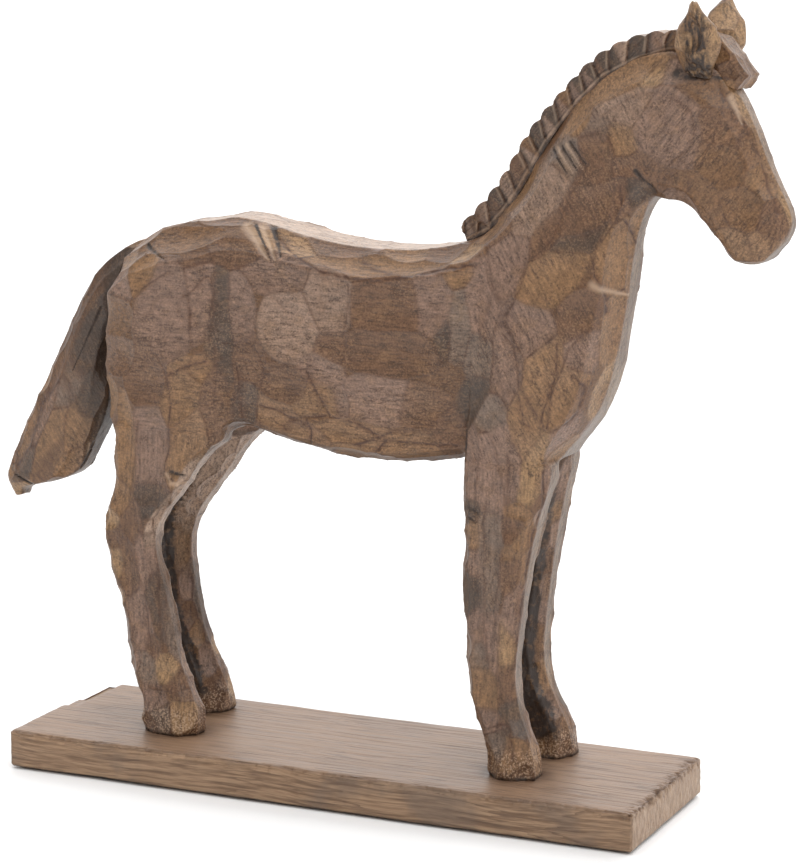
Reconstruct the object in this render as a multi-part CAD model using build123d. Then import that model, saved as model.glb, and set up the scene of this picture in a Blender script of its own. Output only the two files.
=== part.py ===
"""A standing foal carved from glued-up wood blocks, fixed to a plain rectangular board.

Frame: millimetres, +Z up, +X towards the foal's head, -Y on the foal's right-hand side.
The origin is the centre of the underside of the felt sheet, which is the face it stands on.
Carved blocks are lofted through many-sided sections. Each section runs between two points of
the side outline, and the blocks meet on flat glue faces with dowels across them.
"""

import math
import os

from build123d import *

# ---------------------------------------------------------------- driving dimensions
BOARD_LENGTH, BOARD_WIDTH, BOARD_THICKNESS = 300.0, 90.0, 17.0
BOARD_EDGE_EASE = 1.0
FELT_THICKNESS = 1.0
FELT_INSET = 4.0
BOARD_TOP = FELT_THICKNESS + BOARD_THICKNESS
MIDLINE = 6.0  # the foal stands a little behind the board's own centre line

# Glue faces. Heights are above the board, and lines are in the side outline.
HIP_HEIGHT = 140.0
RUMP_END = -47.0  # the trunk is sawn off at the hip's height from its rear up to here
ELBOW_HEIGHT = 138.0
SHOULDER_LINE = ((62.0, 134.0), (70.0, 230.0))
POLL_LINE = ((141.0, 248.0), (136.0, 310.0))
REAR_OF_ALL, FRONT_OF_ALL = -200.0, 200.0  # beyond the foal, for the planes that saw it

# Fixings
DOWEL_RADIUS, DOWEL_LENGTH = 4.0, 30.0
SLIM_DOWEL_RADIUS = 2.0
DOWEL_END_EASE = 0.8
GLUE_GAP = 0.05
HOLE_EXTRA = 1.02  # how much longer a hole is than its dowel
SCREW_SHANK_RADIUS, SCREW_HEAD_RADIUS = 2.0, 4.0
SCREW_LENGTH, SCREW_HEAD_DEPTH, SCREW_POINT = 38.0, 3.0, 4.0
SCREW_SUNK = 0.5  # how far the head lies above the board's underside
SCREW_SLOT = (5.0, 1.1, 1.6)  # each arm of the cross recess: length, width, depth

# Where the dowels lie: x, offset and height, with a way along each that is not upright.
HIP_DOWEL_X, HIP_DOWEL_OFFSET = (-97.0, -74.0), 17.5
ELBOW_DOWEL_X, ELBOW_DOWEL_OFFSET = (71.0, 85.0), 16.5
SHOULDER_DOWELS, SHOULDER_DOWEL_WAY = ((64.5, 164.0), (67.5, 200.0)), (96.0, 0.0, -8.0)
POLL_DOWELS, POLL_DOWEL_WAY = ((139.4, 268.0), (137.6, 290.0)), (62.0, 0.0, 5.0)
TAIL_DOWEL, TAIL_DOWEL_WAY, TAIL_DOWEL_LENGTH = (-112.5, 0.0, 197.0), (-0.85, 0.0, 0.5), 22.0
EAR_PIN_LENGTH, EAR_PIN_RISE = 14.0, 2.0
MANE_PIN_LENGTH = 12.0
MANE_PINS = [((74.0, 242.5), (-0.85, 0.0, 0.52)), ((98.0, 278.7), (-0.78, 0.0, 0.62)),
             ((122.0, 302.0), (-0.5, 0.0, 0.87))]

# Stations of the trunk: x, top height, bottom height, half width, half top band, top chamfer.
TRUNK = [
    (-115.5, 193.0, 150.0, 12.0, 7.0, 7.0),
    (-112.5, 204.5, 134.0, 19.5, 8.0, 10.0),
    (-106.0, 215.5, 122.0, 25.0, 9.0, 13.0),
    (-96.0, 223.5, 118.0, 28.0, 9.5, 15.0),
    (-82.0, 229.0, 118.0, 29.5, 10.0, 16.0),
    (-66.0, 231.5, 122.0, 29.0, 10.5, 15.0),
    (-50.0, 234.0, 141.0, 27.5, 11.0, 13.0),
    (-38.0, 232.3, 141.3, 26.5, 11.5, 12.0),
    (-24.0, 229.0, 138.3, 27.0, 12.0, 11.5),
    (-8.0, 226.0, 135.3, 28.0, 12.5, 11.0),
    (10.0, 224.0, 133.3, 28.5, 12.5, 11.0),
    (28.0, 223.8, 132.8, 28.0, 12.0, 11.0),
    (46.0, 225.8, 134.8, 27.0, 11.5, 11.0),
    (55.5, 228.0, 136.5, 26.5, 9.0, 11.0),
    (64.5, 232.2, 138.1, 26.0, 6.5, 11.0),
    (73.0, 241.0, 139.6, 25.5, 5.5, 11.0),
    (80.0, 251.0, 140.8, 25.5, 5.5, 11.0),
]
TRUNK_BOTTOM_BAND, TRUNK_BOTTOM_CHAMFER = 19.0, 5.0
WIDEST_BAND = 0.6  # a flat band is never more than this share of the half width
DEEPEST_CHAMFER = 0.42  # nor a chamfer more than this share of the section's length
BARREL, HEAD_BARREL = 0.94, 0.92  # the width at the chamfers over the width at the middle

# Stations of the neck: rear or crest point, front point, half width, half front band.
NECK = [
    ((54.0, 128.0), (99.3, 128.0), 27.0, 11.0),
    ((54.0, 150.0), (109.7, 149.0), 28.0, 8.8),
    ((54.0, 170.0), (119.7, 166.5), 28.0, 6.8),
    ((54.0, 192.0), (125.1, 188.0), 26.5, 6.2),
    ((54.0, 213.0), (128.1, 206.0), 24.5, 5.6),
    ((64.5, 232.2), (130.0, 222.0), 22.5, 5.3),
    ((79.0, 249.5), (132.2, 235.0), 20.0, 5.0),
    ((91.0, 269.5), (135.6, 245.0), 18.0, 5.0),
    ((106.5, 289.2), (140.2, 251.0), 16.5, 5.2),
    ((125.0, 303.6), (146.0, 252.0), 15.5, 5.5),
    ((145.0, 310.6), (153.0, 252.0), 15.0, 6.0),
]
NECK_REAR_BAND, NECK_REAR_CHAMFER, NECK_FRONT_CHAMFER = 5.5, 9.0, 7.0

# Stations of the head: nose-line point, jaw point, half width, half nose band.
HEAD = [
    ((128.0, 304.0), (137.0, 252.0), 14.5, 8.0),
    ((143.0, 310.0), (142.0, 251.5), 15.5, 9.0),
    ((155.0, 308.5), (148.0, 250.5), 16.0, 9.5),
    ((165.5, 303.0), (153.5, 248.8), 16.0, 7.5),
    ((173.6, 295.0), (158.5, 245.4), 15.3, 5.0),
    ((179.8, 284.0), (163.8, 240.4), 13.8, 4.3),
    ((185.0, 272.0), (168.0, 235.2), 12.6, 3.8),
    ((190.3, 260.0), (170.6, 230.4), 11.8, 3.4),
    ((195.6, 249.5), (173.6, 226.8), 11.2, 3.2),
    ((197.4, 241.5), (179.5, 224.8), 10.0, 3.0),
    ((194.8, 234.0), (187.0, 226.5), 6.5, 2.6),
]
HEAD_JAW_BAND = 8.0
HEAD_NOSE_CHAMFER, HEAD_JAW_CHAMFER = 0.2, 0.12  # shares of the head's depth

# Stations of the tail: outer point, inner point, half width.
TAIL = [
    ((-99.0, 221.0), (-99.0, 199.0), 8.0),
    ((-110.5, 217.2), (-107.0, 193.0), 9.0),
    ((-122.0, 208.4), (-114.0, 186.0), 10.0),
    ((-131.2, 197.6), (-117.5, 178.0), 11.0),
    ((-138.8, 183.6), (-119.0, 168.5), 12.0),
    ((-147.0, 167.3), (-120.0, 157.5), 12.5),
    ((-155.3, 150.8), (-121.0, 145.0), 12.5),
    ((-163.3, 136.0), (-126.5, 131.5), 12.0),
    ((-170.5, 121.8), (-132.0, 121.0), 11.0),
    ((-175.3, 111.0), (-138.8, 112.0), 9.5),
    ((-176.0, 103.0), (-160.5, 104.0), 7.0),
    ((-173.5, 97.5), (-168.5, 98.5), 4.0),
]

TAIL_BANDS = (0.45, 0.5)  # outer and inner band, as shares of the half width
TAIL_CHAMFERS = (0.25, 0.22)  # outer and inner chamfer, as shares of the tail's depth

# Stations of the legs: height, rear x, front x, inner and outer offset from the midline.
HIND_LEG = [
    (0.0, -94.8, -68.0, 8.5, 28.5),
    (8.0, -95.2, -67.5, 8.5, 28.5),
    (18.0, -96.8, -70.5, 9.0, 27.5),
    (30.0, -101.0, -75.5, 9.5, 26.5),
    (46.0, -104.3, -80.0, 9.0, 26.0),
    (62.0, -107.3, -83.5, 8.5, 26.0),
    (76.0, -111.5, -87.0, 8.0, 26.5),
    (86.0, -113.5, -88.5, 8.0, 27.0),
    (96.0, -113.3, -86.5, 7.5, 27.5),
    (106.0, -109.8, -79.5, 7.0, 27.8),
    (118.0, -107.2, -70.5, 6.5, 28.0),
    (130.0, -107.6, -61.0, 6.0, 28.0),
    (HIP_HEIGHT, -108.5, -52.5, 5.5, 27.6),
]
FORE_LEG = [
    (0.0, 74.2, 95.5, 9.0, 28.5),
    (8.0, 73.6, 94.8, 9.0, 28.0),
    (18.0, 71.4, 91.8, 9.0, 27.0),
    (28.0, 67.2, 87.9, 9.0, 26.0),
    (38.0, 64.3, 85.8, 8.5, 25.5),
    (52.0, 63.0, 85.6, 8.0, 25.5),
    (66.0, 62.6, 87.3, 8.0, 26.0),
    (82.0, 62.2, 89.5, 8.0, 26.5),
    (94.0, 62.3, 91.5, 7.5, 27.0),
    (108.0, 62.4, 94.5, 7.0, 27.2),
    (122.0, 62.2, 98.3, 6.0, 27.2),
    (ELBOW_HEIGHT, 62.0, 101.3, 5.0, 27.0),
]
LEG_CHAMFER_X, LEG_CHAMFER_Y_SHARE = 4.0, 0.24
HOOF_HEIGHT, HOOF_CHAMFER_X = 12.0, 6.5
# The front inner corner is cut further back: how far in x, and as a share of the leg's thickness.
HIND_INNER_CUT, FORE_INNER_CUT = (9.0, 0.45), (5.5, 0.34)
# How far forward each left leg stands of the right one, as (height, shift) pairs.
LEFT_HIND_SHIFT = [(0.0, -5.5), (20.0, -6.2), (55.0, -7.0), (76.0, -4.0), (98.0, 1.0), (HIP_HEIGHT, 1.0)]
LEFT_FORE_SHIFT = [(0.0, 2.5), (20.0, 1.8), (40.0, -0.6), (60.0, -1.3), (100.0, -2.4), (ELBOW_HEIGHT, -4.0)]

# The mane: points along its seat on the crest with its depth there, and how far it is let in.
MANE_SEAT = [((55.5, 228.0), 7.5), ((64.5, 232.2), 11.0), ((73.0, 241.0), 11.0), ((80.0, 251.0), 10.5),
             ((92.0, 271.0), 10.2), ((106.0, 288.6), 9.3), ((117.0, 298.8), 10.0), ((130.0, 305.6), 10.5),
             ((143.0, 310.0), 9.2), ((152.0, 311.2), 8.0)]
MANE_SUNK = 2.5
MANE_HALF_WIDTH = 6.0
MANE_LOCKS = 16
MANE_NOTCH = 1.6

EAR_BASE = (158.5, 9.5, 302.0)  # x, offset from the midline, height
EAR_TIP = (162.0, 22.3, 331.0)
EAR_STATIONS = [(0.0, 5.6, 3.4), (0.28, 7.8, 4.6), (0.55, 8.4, 4.7), (0.8, 6.2, 3.5), (1.0, 1.0, 0.9)]
EAR_TURN = 20.0
EAR_SCOOP = (6.4, 6.2, 13.5)  # half sizes of the ellipsoid that hollows the ear
EAR_SCOOP_SHARE, EAR_SCOOP_OUT = 0.62, 7.5  # its middle: how far up the ear, and how far outside it
FORELOCK_OUTLINE = [(149.0, 306.0), (152.5, 314.5), (159.5, 318.8), (166.8, 316.4),
                    (173.3, 309.6), (179.0, 301.4), (174.3, 295.8), (163.0, 300.0)]
FORELOCK_HALF_WIDTH = 7.5


# ---------------------------------------------------------------- geometry helpers
def place(x, offset, height):
    """A point from its x, its offset from the foal's midline and its height above the board."""
    return Vector(x, MIDLINE + offset, BOARD_TOP + height)


def polygon(points):
    return Wire.make_polygon(points, close=True)


def outline_section(first, second, across):
    """A section between two points of the side outline. across lists (offset, share or distance)
    pairs down one side, each distance measured from the first point towards the second."""
    start, end = Vector(*first), Vector(*second)
    way = (end - start).normalized()
    side = [(offset, start + way * along) for offset, along in across]
    right = [place(p.X, -offset, p.Y) for offset, p in side]
    left = [place(p.X, offset, p.Y) for offset, p in reversed(side)]
    return polygon(right + left)


def span(first, second):
    return (Vector(*second) - Vector(*first)).length


def block(first, second, half_width, band_1, chamfer_1, band_2, chamfer_2, barrel=BARREL):
    """A ten-sided section: a flat band at each end, a chamfer to each side, and sides that swell
    to half_width at the middle. barrel is the width at the chamfers over the middle's."""
    length = span(first, second)
    chamfer_1, chamfer_2 = min(chamfer_1, DEEPEST_CHAMFER * length), min(chamfer_2, DEEPEST_CHAMFER * length)
    band_2 = min(band_2, WIDEST_BAND * half_width)
    return outline_section(first, second, [
        (band_1, 0.0),
        (barrel * half_width, chamfer_1),
        (half_width, 0.5 * (chamfer_1 + length - chamfer_2)),
        (barrel * half_width, length - chamfer_2),
        (band_2, length),
    ])


def half_space(line, keep_front, reach=FRONT_OF_ALL):
    """A large box on one side of the plane through a line of the side outline and across Y."""
    (x0, z0), (x1, z1) = line
    along = Vector(x1 - x0, 0, z1 - z0).normalized()
    normal = Vector(along.Z, 0, -along.X) * (1 if keep_front else -1)
    middle = Vector((x0 + x1) / 2, MIDLINE, BOARD_TOP + (z0 + z1) / 2)
    plane = Plane(origin=middle, x_dir=along, z_dir=normal)
    return plane * Box(2 * reach, 2 * reach, reach, align=(Align.CENTER, Align.CENTER, Align.MIN))


def slab_below(height, first_x, last_x, depth=40.0):
    """A slab wider than the foal, whose upper face is at a height above the board."""
    middle = Pos((first_x + last_x) / 2, MIDLINE, BOARD_TOP + height)
    return middle * Box(last_x - first_x, 2 * BOARD_WIDTH, depth,
                        align=(Align.CENTER, Align.CENTER, Align.MAX))


def cylinder_between(start, end, radius, ease=0.0):
    """A straight pin from start to end, with eased ends."""
    way = end - start
    pin = Plane(origin=start, z_dir=way) * Cylinder(
        radius, way.length, align=(Align.CENTER, Align.CENTER, Align.MIN))
    return chamfer(pin.edges(), ease) if ease else pin


def dowel_pair(centre, way, radius, length):
    """A dowel through centre along way, and the slightly wider hole that it is glued into."""
    half = Vector(way).normalized() * (length / 2)
    return (cylinder_between(centre - half, centre + half, radius, DOWEL_END_EASE),
            cylinder_between(centre - half * HOLE_EXTRA, centre + half * HOLE_EXTRA, radius + GLUE_GAP))


def solid_of(shape):
    """The largest solid of a shape, which drops any sliver that a cut leaves."""
    return max(shape.solids(), key=lambda s: s.volume)


# ---------------------------------------------------------------- carved blocks
def make_trunk():
    sections = [
        block((x, top), (x, bottom), half_width, band, chamfer_depth, TRUNK_BOTTOM_BAND, TRUNK_BOTTOM_CHAMFER)
        for x, top, bottom, half_width, band, chamfer_depth in TRUNK
    ]
    trunk = Solid.make_loft(sections)
    trunk -= half_space(SHOULDER_LINE, keep_front=True)
    return solid_of(trunk - slab_below(HIP_HEIGHT, REAR_OF_ALL, RUMP_END))


def make_neck():
    sections = [
        block(front, rear, half_width, band, NECK_FRONT_CHAMFER, NECK_REAR_BAND, NECK_REAR_CHAMFER)
        for rear, front, half_width, band in NECK
    ]
    neck = Solid.make_loft(sections)
    neck = neck & half_space(SHOULDER_LINE, keep_front=True)
    neck = neck & half_space(POLL_LINE, keep_front=False)
    return solid_of(neck - slab_below(ELBOW_HEIGHT, NECK[0][0][0], FRONT_OF_ALL))


def make_head():
    sections = []
    for nose, jaw, half_width, band in HEAD:
        depth = span(nose, jaw)
        sections.append(block(nose, jaw, half_width, band, HEAD_NOSE_CHAMFER * depth,
                              HEAD_JAW_BAND, HEAD_JAW_CHAMFER * depth, barrel=HEAD_BARREL))
    head = Solid.make_loft(sections)
    return solid_of(head & half_space(POLL_LINE, keep_front=True))


def make_tail(trunk):
    sections = []
    for outer, inner, half_width in TAIL:
        depth = span(outer, inner)
        bands = [share * half_width for share in TAIL_BANDS]
        chamfers = [share * depth for share in TAIL_CHAMFERS]
        sections.append(block(outer, inner, half_width, bands[0], chamfers[0], bands[1], chamfers[1],
                              barrel=HEAD_BARREL))
    return solid_of(Solid.make_loft(sections) - trunk)


def shift_at(height, profile):
    """The shift at a height, in a straight line between a profile's (height, shift) pairs."""
    for (low, first), (high, second) in zip(profile, profile[1:]):
        if height <= high:
            return first + (second - first) * (height - low) / (high - low)
    return profile[-1][1]


def make_leg(stations, side, shifts, inner_cut):
    """A leg from its hoof up to its glue face. side is -1 for the right leg and 1 for the left."""
    sections = []
    for height, rear, front, inner, outer in stations:
        shift = shift_at(height, shifts)
        cut_x = HOOF_CHAMFER_X if height < HOOF_HEIGHT else LEG_CHAMFER_X
        cut_y = LEG_CHAMFER_Y_SHARE * (outer - inner)
        back_by, in_by = inner_cut[0], inner_cut[1] * (outer - inner)
        corners = [(rear, inner + cut_y), (rear + cut_x, inner), (front - back_by, inner),
                   (front, inner + in_by), (front, outer - cut_y), (front - cut_x, outer),
                   (rear + cut_x, outer), (rear, outer - cut_y)]
        sections.append(polygon([place(x + shift, side * offset, height) for x, offset in corners]))
    return solid_of(Solid.make_loft(sections))


def mane_edge(depths):
    """The mane's seat line moved outwards by the given depths, as points square to the crest."""
    points = [Vector(*point) for point, _ in MANE_SEAT]
    moved = []
    for i, (point, depth) in enumerate(zip(points, depths)):
        ahead, behind = points[min(i + 1, len(points) - 1)], points[max(i - 1, 0)]
        along = (ahead - behind).normalized()
        moved.append(point + Vector(-along.Y, along.X) * depth)
    return [(p.X, p.Y) for p in moved]


def make_mane(neck, head, trunk):
    """A strip along the crest, with one shallow scallop cut into its edge for each lock."""
    edge = Spline(*mane_edge([depth - MANE_NOTCH for _, depth in MANE_SEAT]))
    seat = Spline(*mane_edge([-MANE_SUNK] * len(MANE_SEAT)))
    tips = [edge @ (i / MANE_LOCKS) for i in range(MANE_LOCKS + 1)]
    scallops = []
    for i in range(MANE_LOCKS):
        middle = edge @ ((i + 0.4) / MANE_LOCKS)
        along = edge % ((i + 0.4) / MANE_LOCKS)
        bulge = middle + Vector(-along.Y, along.X) * MANE_NOTCH
        scallops.append(ThreePointArc(tips[i], bulge, tips[i + 1]))
    ends = [Line(tips[0], seat @ 0), Line(tips[-1], seat @ 1)]
    outline = make_face([*scallops, seat, *ends])
    side_plane = Plane(origin=(0, MIDLINE, BOARD_TOP), x_dir=(1, 0, 0), z_dir=(0, -1, 0))
    strip = extrude(side_plane * outline, MANE_HALF_WIDTH, both=True)
    return solid_of(strip - neck - head - trunk)


def make_ear(side, head):
    """A leaf-shaped ear with a scooped outer face."""
    base = place(EAR_BASE[0], side * EAR_BASE[1], EAR_BASE[2])
    tip = place(EAR_TIP[0], side * EAR_TIP[1], EAR_TIP[2])
    way = tip - base
    turn = math.radians(EAR_TURN) * side
    flat_way = Vector(math.cos(turn), math.sin(turn), 0)
    sections = []
    for share, half_breadth, half_thick in EAR_STATIONS:
        plane = Plane(origin=base + way * share, x_dir=flat_way, z_dir=way)
        sections.append((plane * Ellipse(half_breadth, half_thick)).wire())
    ear = Solid.make_loft(sections)
    outward = Vector(-flat_way.Y, flat_way.X, 0) * side
    scoop_centre = base + way * EAR_SCOOP_SHARE + outward * EAR_SCOOP_OUT
    scoop_plane = Plane(origin=scoop_centre, x_dir=flat_way, z_dir=way)
    scoop = scoop_plane * scale(Sphere(1.0), by=EAR_SCOOP)
    return solid_of(ear - scoop - head)


def make_forelock(head, mane, ears):
    side_plane = Plane(origin=(0, MIDLINE, BOARD_TOP), x_dir=(1, 0, 0), z_dir=(0, -1, 0))
    outline = make_face(Polyline(*FORELOCK_OUTLINE, close=True))
    tuft = extrude(side_plane * outline, FORELOCK_HALF_WIDTH, both=True)
    tuft = tuft - head - mane
    for ear in ears:
        tuft -= ear
    return solid_of(tuft)


# ---------------------------------------------------------------- board and fixings
def hoof_centres():
    """Where a screw comes up into each hoof."""
    centres = {}
    for name, stations, side, shifts, _ in leg_plan():
        _, rear, front, inner, outer = stations[0]
        centres[name] = place((rear + front) / 2 + shift_at(0, shifts), side * (inner + outer) / 2, 0)
    return centres


def leg_plan():
    """Each leg's name, stations, side of the midline, forward shift and inner cut."""
    level = [(0.0, 0.0), (HIP_HEIGHT, 0.0)]
    return [("hindleg_right", HIND_LEG, -1, level, HIND_INNER_CUT),
            ("hindleg_left", HIND_LEG, 1, LEFT_HIND_SHIFT, HIND_INNER_CUT),
            ("foreleg_right", FORE_LEG, -1, level, FORE_INNER_CUT),
            ("foreleg_left", FORE_LEG, 1, LEFT_FORE_SHIFT, FORE_INNER_CUT)]


def screw_at(centre):
    """A countersunk wood screw, head at the board's underside, with a cross recess."""
    outline = Polyline(
        (0, 0), (SCREW_HEAD_RADIUS, 0), (SCREW_SHANK_RADIUS, SCREW_HEAD_DEPTH),
        (SCREW_SHANK_RADIUS, SCREW_LENGTH - SCREW_POINT), (0, SCREW_LENGTH), close=True)
    screw = revolve(Plane.XZ * make_face(outline), Axis.Z)
    slot = Box(*SCREW_SLOT, align=(Align.CENTER, Align.CENTER, Align.MIN))
    screw = screw - slot - Rot(0, 0, 90) * slot
    return Pos(centre.X, centre.Y, FELT_THICKNESS + SCREW_SUNK) * screw


def screw_hole(centre):
    """The countersunk hole for one screw, through the board and on into the hoof."""
    head_radius, shank_radius = SCREW_HEAD_RADIUS + GLUE_GAP, SCREW_SHANK_RADIUS + GLUE_GAP
    outline = Polyline(
        (0, -SCREW_SUNK), (head_radius, -SCREW_SUNK), (head_radius, 0), (shank_radius, SCREW_HEAD_DEPTH),
        (shank_radius, SCREW_LENGTH - SCREW_POINT), (0, SCREW_LENGTH + GLUE_GAP), close=True)
    hole = revolve(Plane.XZ * make_face(outline), Axis.Z)
    return Pos(centre.X, centre.Y, FELT_THICKNESS + SCREW_SUNK) * hole


def make_board():
    board = Pos(0, 0, FELT_THICKNESS) * Box(
        BOARD_LENGTH, BOARD_WIDTH, BOARD_THICKNESS, align=(Align.CENTER, Align.CENTER, Align.MIN))
    return chamfer(board.edges(), BOARD_EDGE_EASE)


def make_felt():
    return Box(BOARD_LENGTH - 2 * FELT_INSET, BOARD_WIDTH - 2 * FELT_INSET, FELT_THICKNESS,
               align=(Align.CENTER, Align.CENTER, Align.MIN))


def dowel_plan():
    """Every dowel group by its node's name, with each dowel's centre, way, radius and length."""
    (base_x, base_offset, base_height), (tip_x, tip_offset, tip_height) = EAR_BASE, EAR_TIP
    return {
        "hip_dowels": [
            (place(x, side * HIP_DOWEL_OFFSET, HIP_HEIGHT), (0, 0, 1), DOWEL_RADIUS, DOWEL_LENGTH)
            for side in (-1, 1) for x in HIP_DOWEL_X],
        "elbow_dowels": [
            (place(x, side * ELBOW_DOWEL_OFFSET, ELBOW_HEIGHT), (0, 0, 1), DOWEL_RADIUS, DOWEL_LENGTH)
            for side in (-1, 1) for x in ELBOW_DOWEL_X],
        "shoulder_dowels": [
            (place(x, 0, height), SHOULDER_DOWEL_WAY, DOWEL_RADIUS, DOWEL_LENGTH)
            for x, height in SHOULDER_DOWELS],
        "poll_dowels": [
            (place(x, 0, height), POLL_DOWEL_WAY, DOWEL_RADIUS, DOWEL_LENGTH) for x, height in POLL_DOWELS],
        "tail_dowel": [(place(*TAIL_DOWEL), TAIL_DOWEL_WAY, DOWEL_RADIUS, TAIL_DOWEL_LENGTH)],
        "ear_pins": [
            (place(base_x, side * base_offset, base_height + EAR_PIN_RISE),
             (tip_x - base_x, side * (tip_offset - base_offset), tip_height - base_height),
             SLIM_DOWEL_RADIUS, EAR_PIN_LENGTH)
            for side in (-1, 1)],
        "mane_pins": [
            (place(x, 0, height), way, SLIM_DOWEL_RADIUS, MANE_PIN_LENGTH)
            for (x, height), way in MANE_PINS],
    }


def main():
    trunk, neck, head = make_trunk(), make_neck(), make_head()
    tail = make_tail(trunk)
    mane = make_mane(neck, head, trunk)
    ears = {side: make_ear(side, head) for side in (-1, 1)}
    forelock = make_forelock(head, mane, ears.values())
    mane = solid_of(mane - forelock)
    parts = {"base_board": make_board(), "felt_sheet": make_felt(), "trunk": trunk, "neck": neck,
             "head": head, "tail": tail, "mane": mane, "forelock": forelock,
             "ear_right": ears[-1], "ear_left": ears[1]}
    for name, *plan in leg_plan():
        parts[name] = make_leg(*plan)
    for name in ("foreleg_right", "foreleg_left"):
        parts[name] = solid_of(parts[name] - trunk)  # scribed to the belly behind the elbow

    screws = []
    for name, centre in hoof_centres().items():
        hole = screw_hole(centre)
        screws.append(screw_at(centre))
        parts["base_board"] -= hole
        parts[name] -= hole
    parts["base_screws"] = Compound(children=screws)

    wooden = [n for n in parts if n not in ("base_board", "felt_sheet", "base_screws")]
    for group, members in dowel_plan().items():
        dowels = []
        for centre, way, radius, length in members:
            dowel, hole = dowel_pair(centre, way, radius, length)
            dowels.append(dowel)
            for name in wooden:
                if parts[name] & hole:
                    parts[name] -= hole
        parts[group] = Compound(children=dowels)

    os.makedirs("parts", exist_ok=True)
    for name, shape in parts.items():
        export_step(shape, f"parts/{name}.step")
        solids = shape.solids()
        print(name, len(solids), round(sum(s.volume for s in solids)), all(s.is_valid for s in solids))


main()
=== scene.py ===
"""Looks for the carved wooden foal on its board.

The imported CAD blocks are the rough-sawn blanks. This script carves them: the blanks are joined,
remeshed, and cut all over with shallow gouge and chisel cuts, then parted again at the glue faces,
so that each block stays a piece of its own. Lengths are millimetres in the part's own frame, but
where a docstring says metres. A height is above the board's top, and MM turns millimetres to metres.
"""

import math

import bmesh
import bpy
import numpy as np
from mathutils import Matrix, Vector, noise


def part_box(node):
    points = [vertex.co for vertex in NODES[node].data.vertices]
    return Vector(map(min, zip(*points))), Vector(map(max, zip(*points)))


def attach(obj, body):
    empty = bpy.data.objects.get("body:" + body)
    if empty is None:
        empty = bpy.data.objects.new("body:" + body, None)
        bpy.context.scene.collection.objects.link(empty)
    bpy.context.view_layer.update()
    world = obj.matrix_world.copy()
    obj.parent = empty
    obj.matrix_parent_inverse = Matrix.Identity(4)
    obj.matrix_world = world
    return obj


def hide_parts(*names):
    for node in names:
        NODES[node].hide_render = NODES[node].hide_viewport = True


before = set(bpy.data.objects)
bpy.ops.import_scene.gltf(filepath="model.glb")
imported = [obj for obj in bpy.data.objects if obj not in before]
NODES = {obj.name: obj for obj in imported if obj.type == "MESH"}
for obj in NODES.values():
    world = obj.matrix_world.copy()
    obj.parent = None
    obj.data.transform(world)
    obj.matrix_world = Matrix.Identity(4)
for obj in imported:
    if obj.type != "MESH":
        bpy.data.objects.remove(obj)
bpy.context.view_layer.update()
MM = 0.001
RNG = np.random.default_rng(7)

BOARD_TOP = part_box("base_board")[1].z / MM
MIDLINE = (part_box("trunk")[0].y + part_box("trunk")[1].y) / 2 / MM
HIP_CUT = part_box("hindleg_right")[1].z / MM - 1.0
ELBOW_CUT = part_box("neck")[0].z / MM - 1.0

# ---------------------------------------------------------------- camera, light and floor
CAMERA_AZIMUTH, CAMERA_ELEVATION = 24.28, 10.63
CAMERA_DISTANCE, CAMERA_LENS, SENSOR = 1290.0, 123.87, 36.0
LOOK_AT = (24.4, 0.0, 161.5)
SKY_STRENGTH = 0.28
# The sky's broad bright patches: the way to each one's middle, and its strength.
SKY_PATCHES = (
    ((0.15, 0.1, 1.0), 2.0),  # a soft box overhead
    ((-0.41, 0.91, 0.15), 1.5),  # a white backdrop behind the foal
)


def point_towards(obj, target):
    way = Vector(target) * MM - obj.location
    obj.rotation_euler = way.to_track_quat("-Z", "Y").to_euler()


def on_sphere(azimuth, elevation, distance):
    """A point round LOOK_AT, in metres. Azimuth 0 is in front of the foal's right side."""
    a, e = math.radians(azimuth), math.radians(elevation)
    way = Vector((math.sin(a) * math.cos(e), -math.cos(a) * math.cos(e), math.sin(e)))
    return (Vector(LOOK_AT) + way * distance) * MM


def make_camera():
    """A long lens, so that the foal's proportions stay nearly those of its side view."""
    data = bpy.data.cameras.new("camera")
    data.lens, data.sensor_width = CAMERA_LENS, SENSOR
    camera = bpy.data.objects.new("camera", data)
    bpy.context.scene.collection.objects.link(camera)
    camera.location = on_sphere(CAMERA_AZIMUTH, CAMERA_ELEVATION, CAMERA_DISTANCE)
    point_towards(camera, LOOK_AT)
    bpy.context.scene.camera = camera


def make_sun(name, azimuth, elevation, width, strength):
    """A broad, even light from one direction. width is its spread in degrees."""
    data = bpy.data.lights.new(name, "SUN")
    data.angle, data.energy = math.radians(width), strength
    light = bpy.data.objects.new(name, data)
    bpy.context.scene.collection.objects.link(light)
    light.location = on_sphere(azimuth, elevation, CAMERA_DISTANCE)
    point_towards(light, LOOK_AT)


def light_the_sky(tree):
    """A white sky with a few broad bright patches, as in a photographer's light tent."""
    nodes, links = tree.nodes, tree.links
    way = nodes.new("ShaderNodeTexCoord").outputs["Generated"]
    total = None
    for direction, strength in SKY_PATCHES:
        dot = nodes.new("ShaderNodeVectorMath")
        dot.operation = "DOT_PRODUCT"
        dot.inputs[1].default_value = Vector(direction).normalized()
        links.new(way, dot.inputs[0])
        last = dot.outputs["Value"]
        for operation, value in (("MAXIMUM", 0.0), ("POWER", 2.0), ("MULTIPLY", strength)):
            last = sky_maths(tree, operation, last, value)
        total = sky_maths(tree, "ADD", last, SKY_STRENGTH if total is None else total)
    links.new(total, nodes["Background"].inputs["Strength"])
    nodes["Background"].inputs["Color"].default_value = (1.0, 1.0, 1.0, 1.0)


def sky_maths(tree, operation, first, second):
    """A sum on a socket and either a number or another socket."""
    node = tree.nodes.new("ShaderNodeMath")
    node.operation = operation
    tree.links.new(first, node.inputs[0])
    if isinstance(second, float):
        node.inputs[1].default_value = second
    else:
        tree.links.new(second, node.inputs[1])
    return node.outputs[0]


FLOOR_HALF = 30.0  # metres
PAPER_GREY = 0.86


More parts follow.
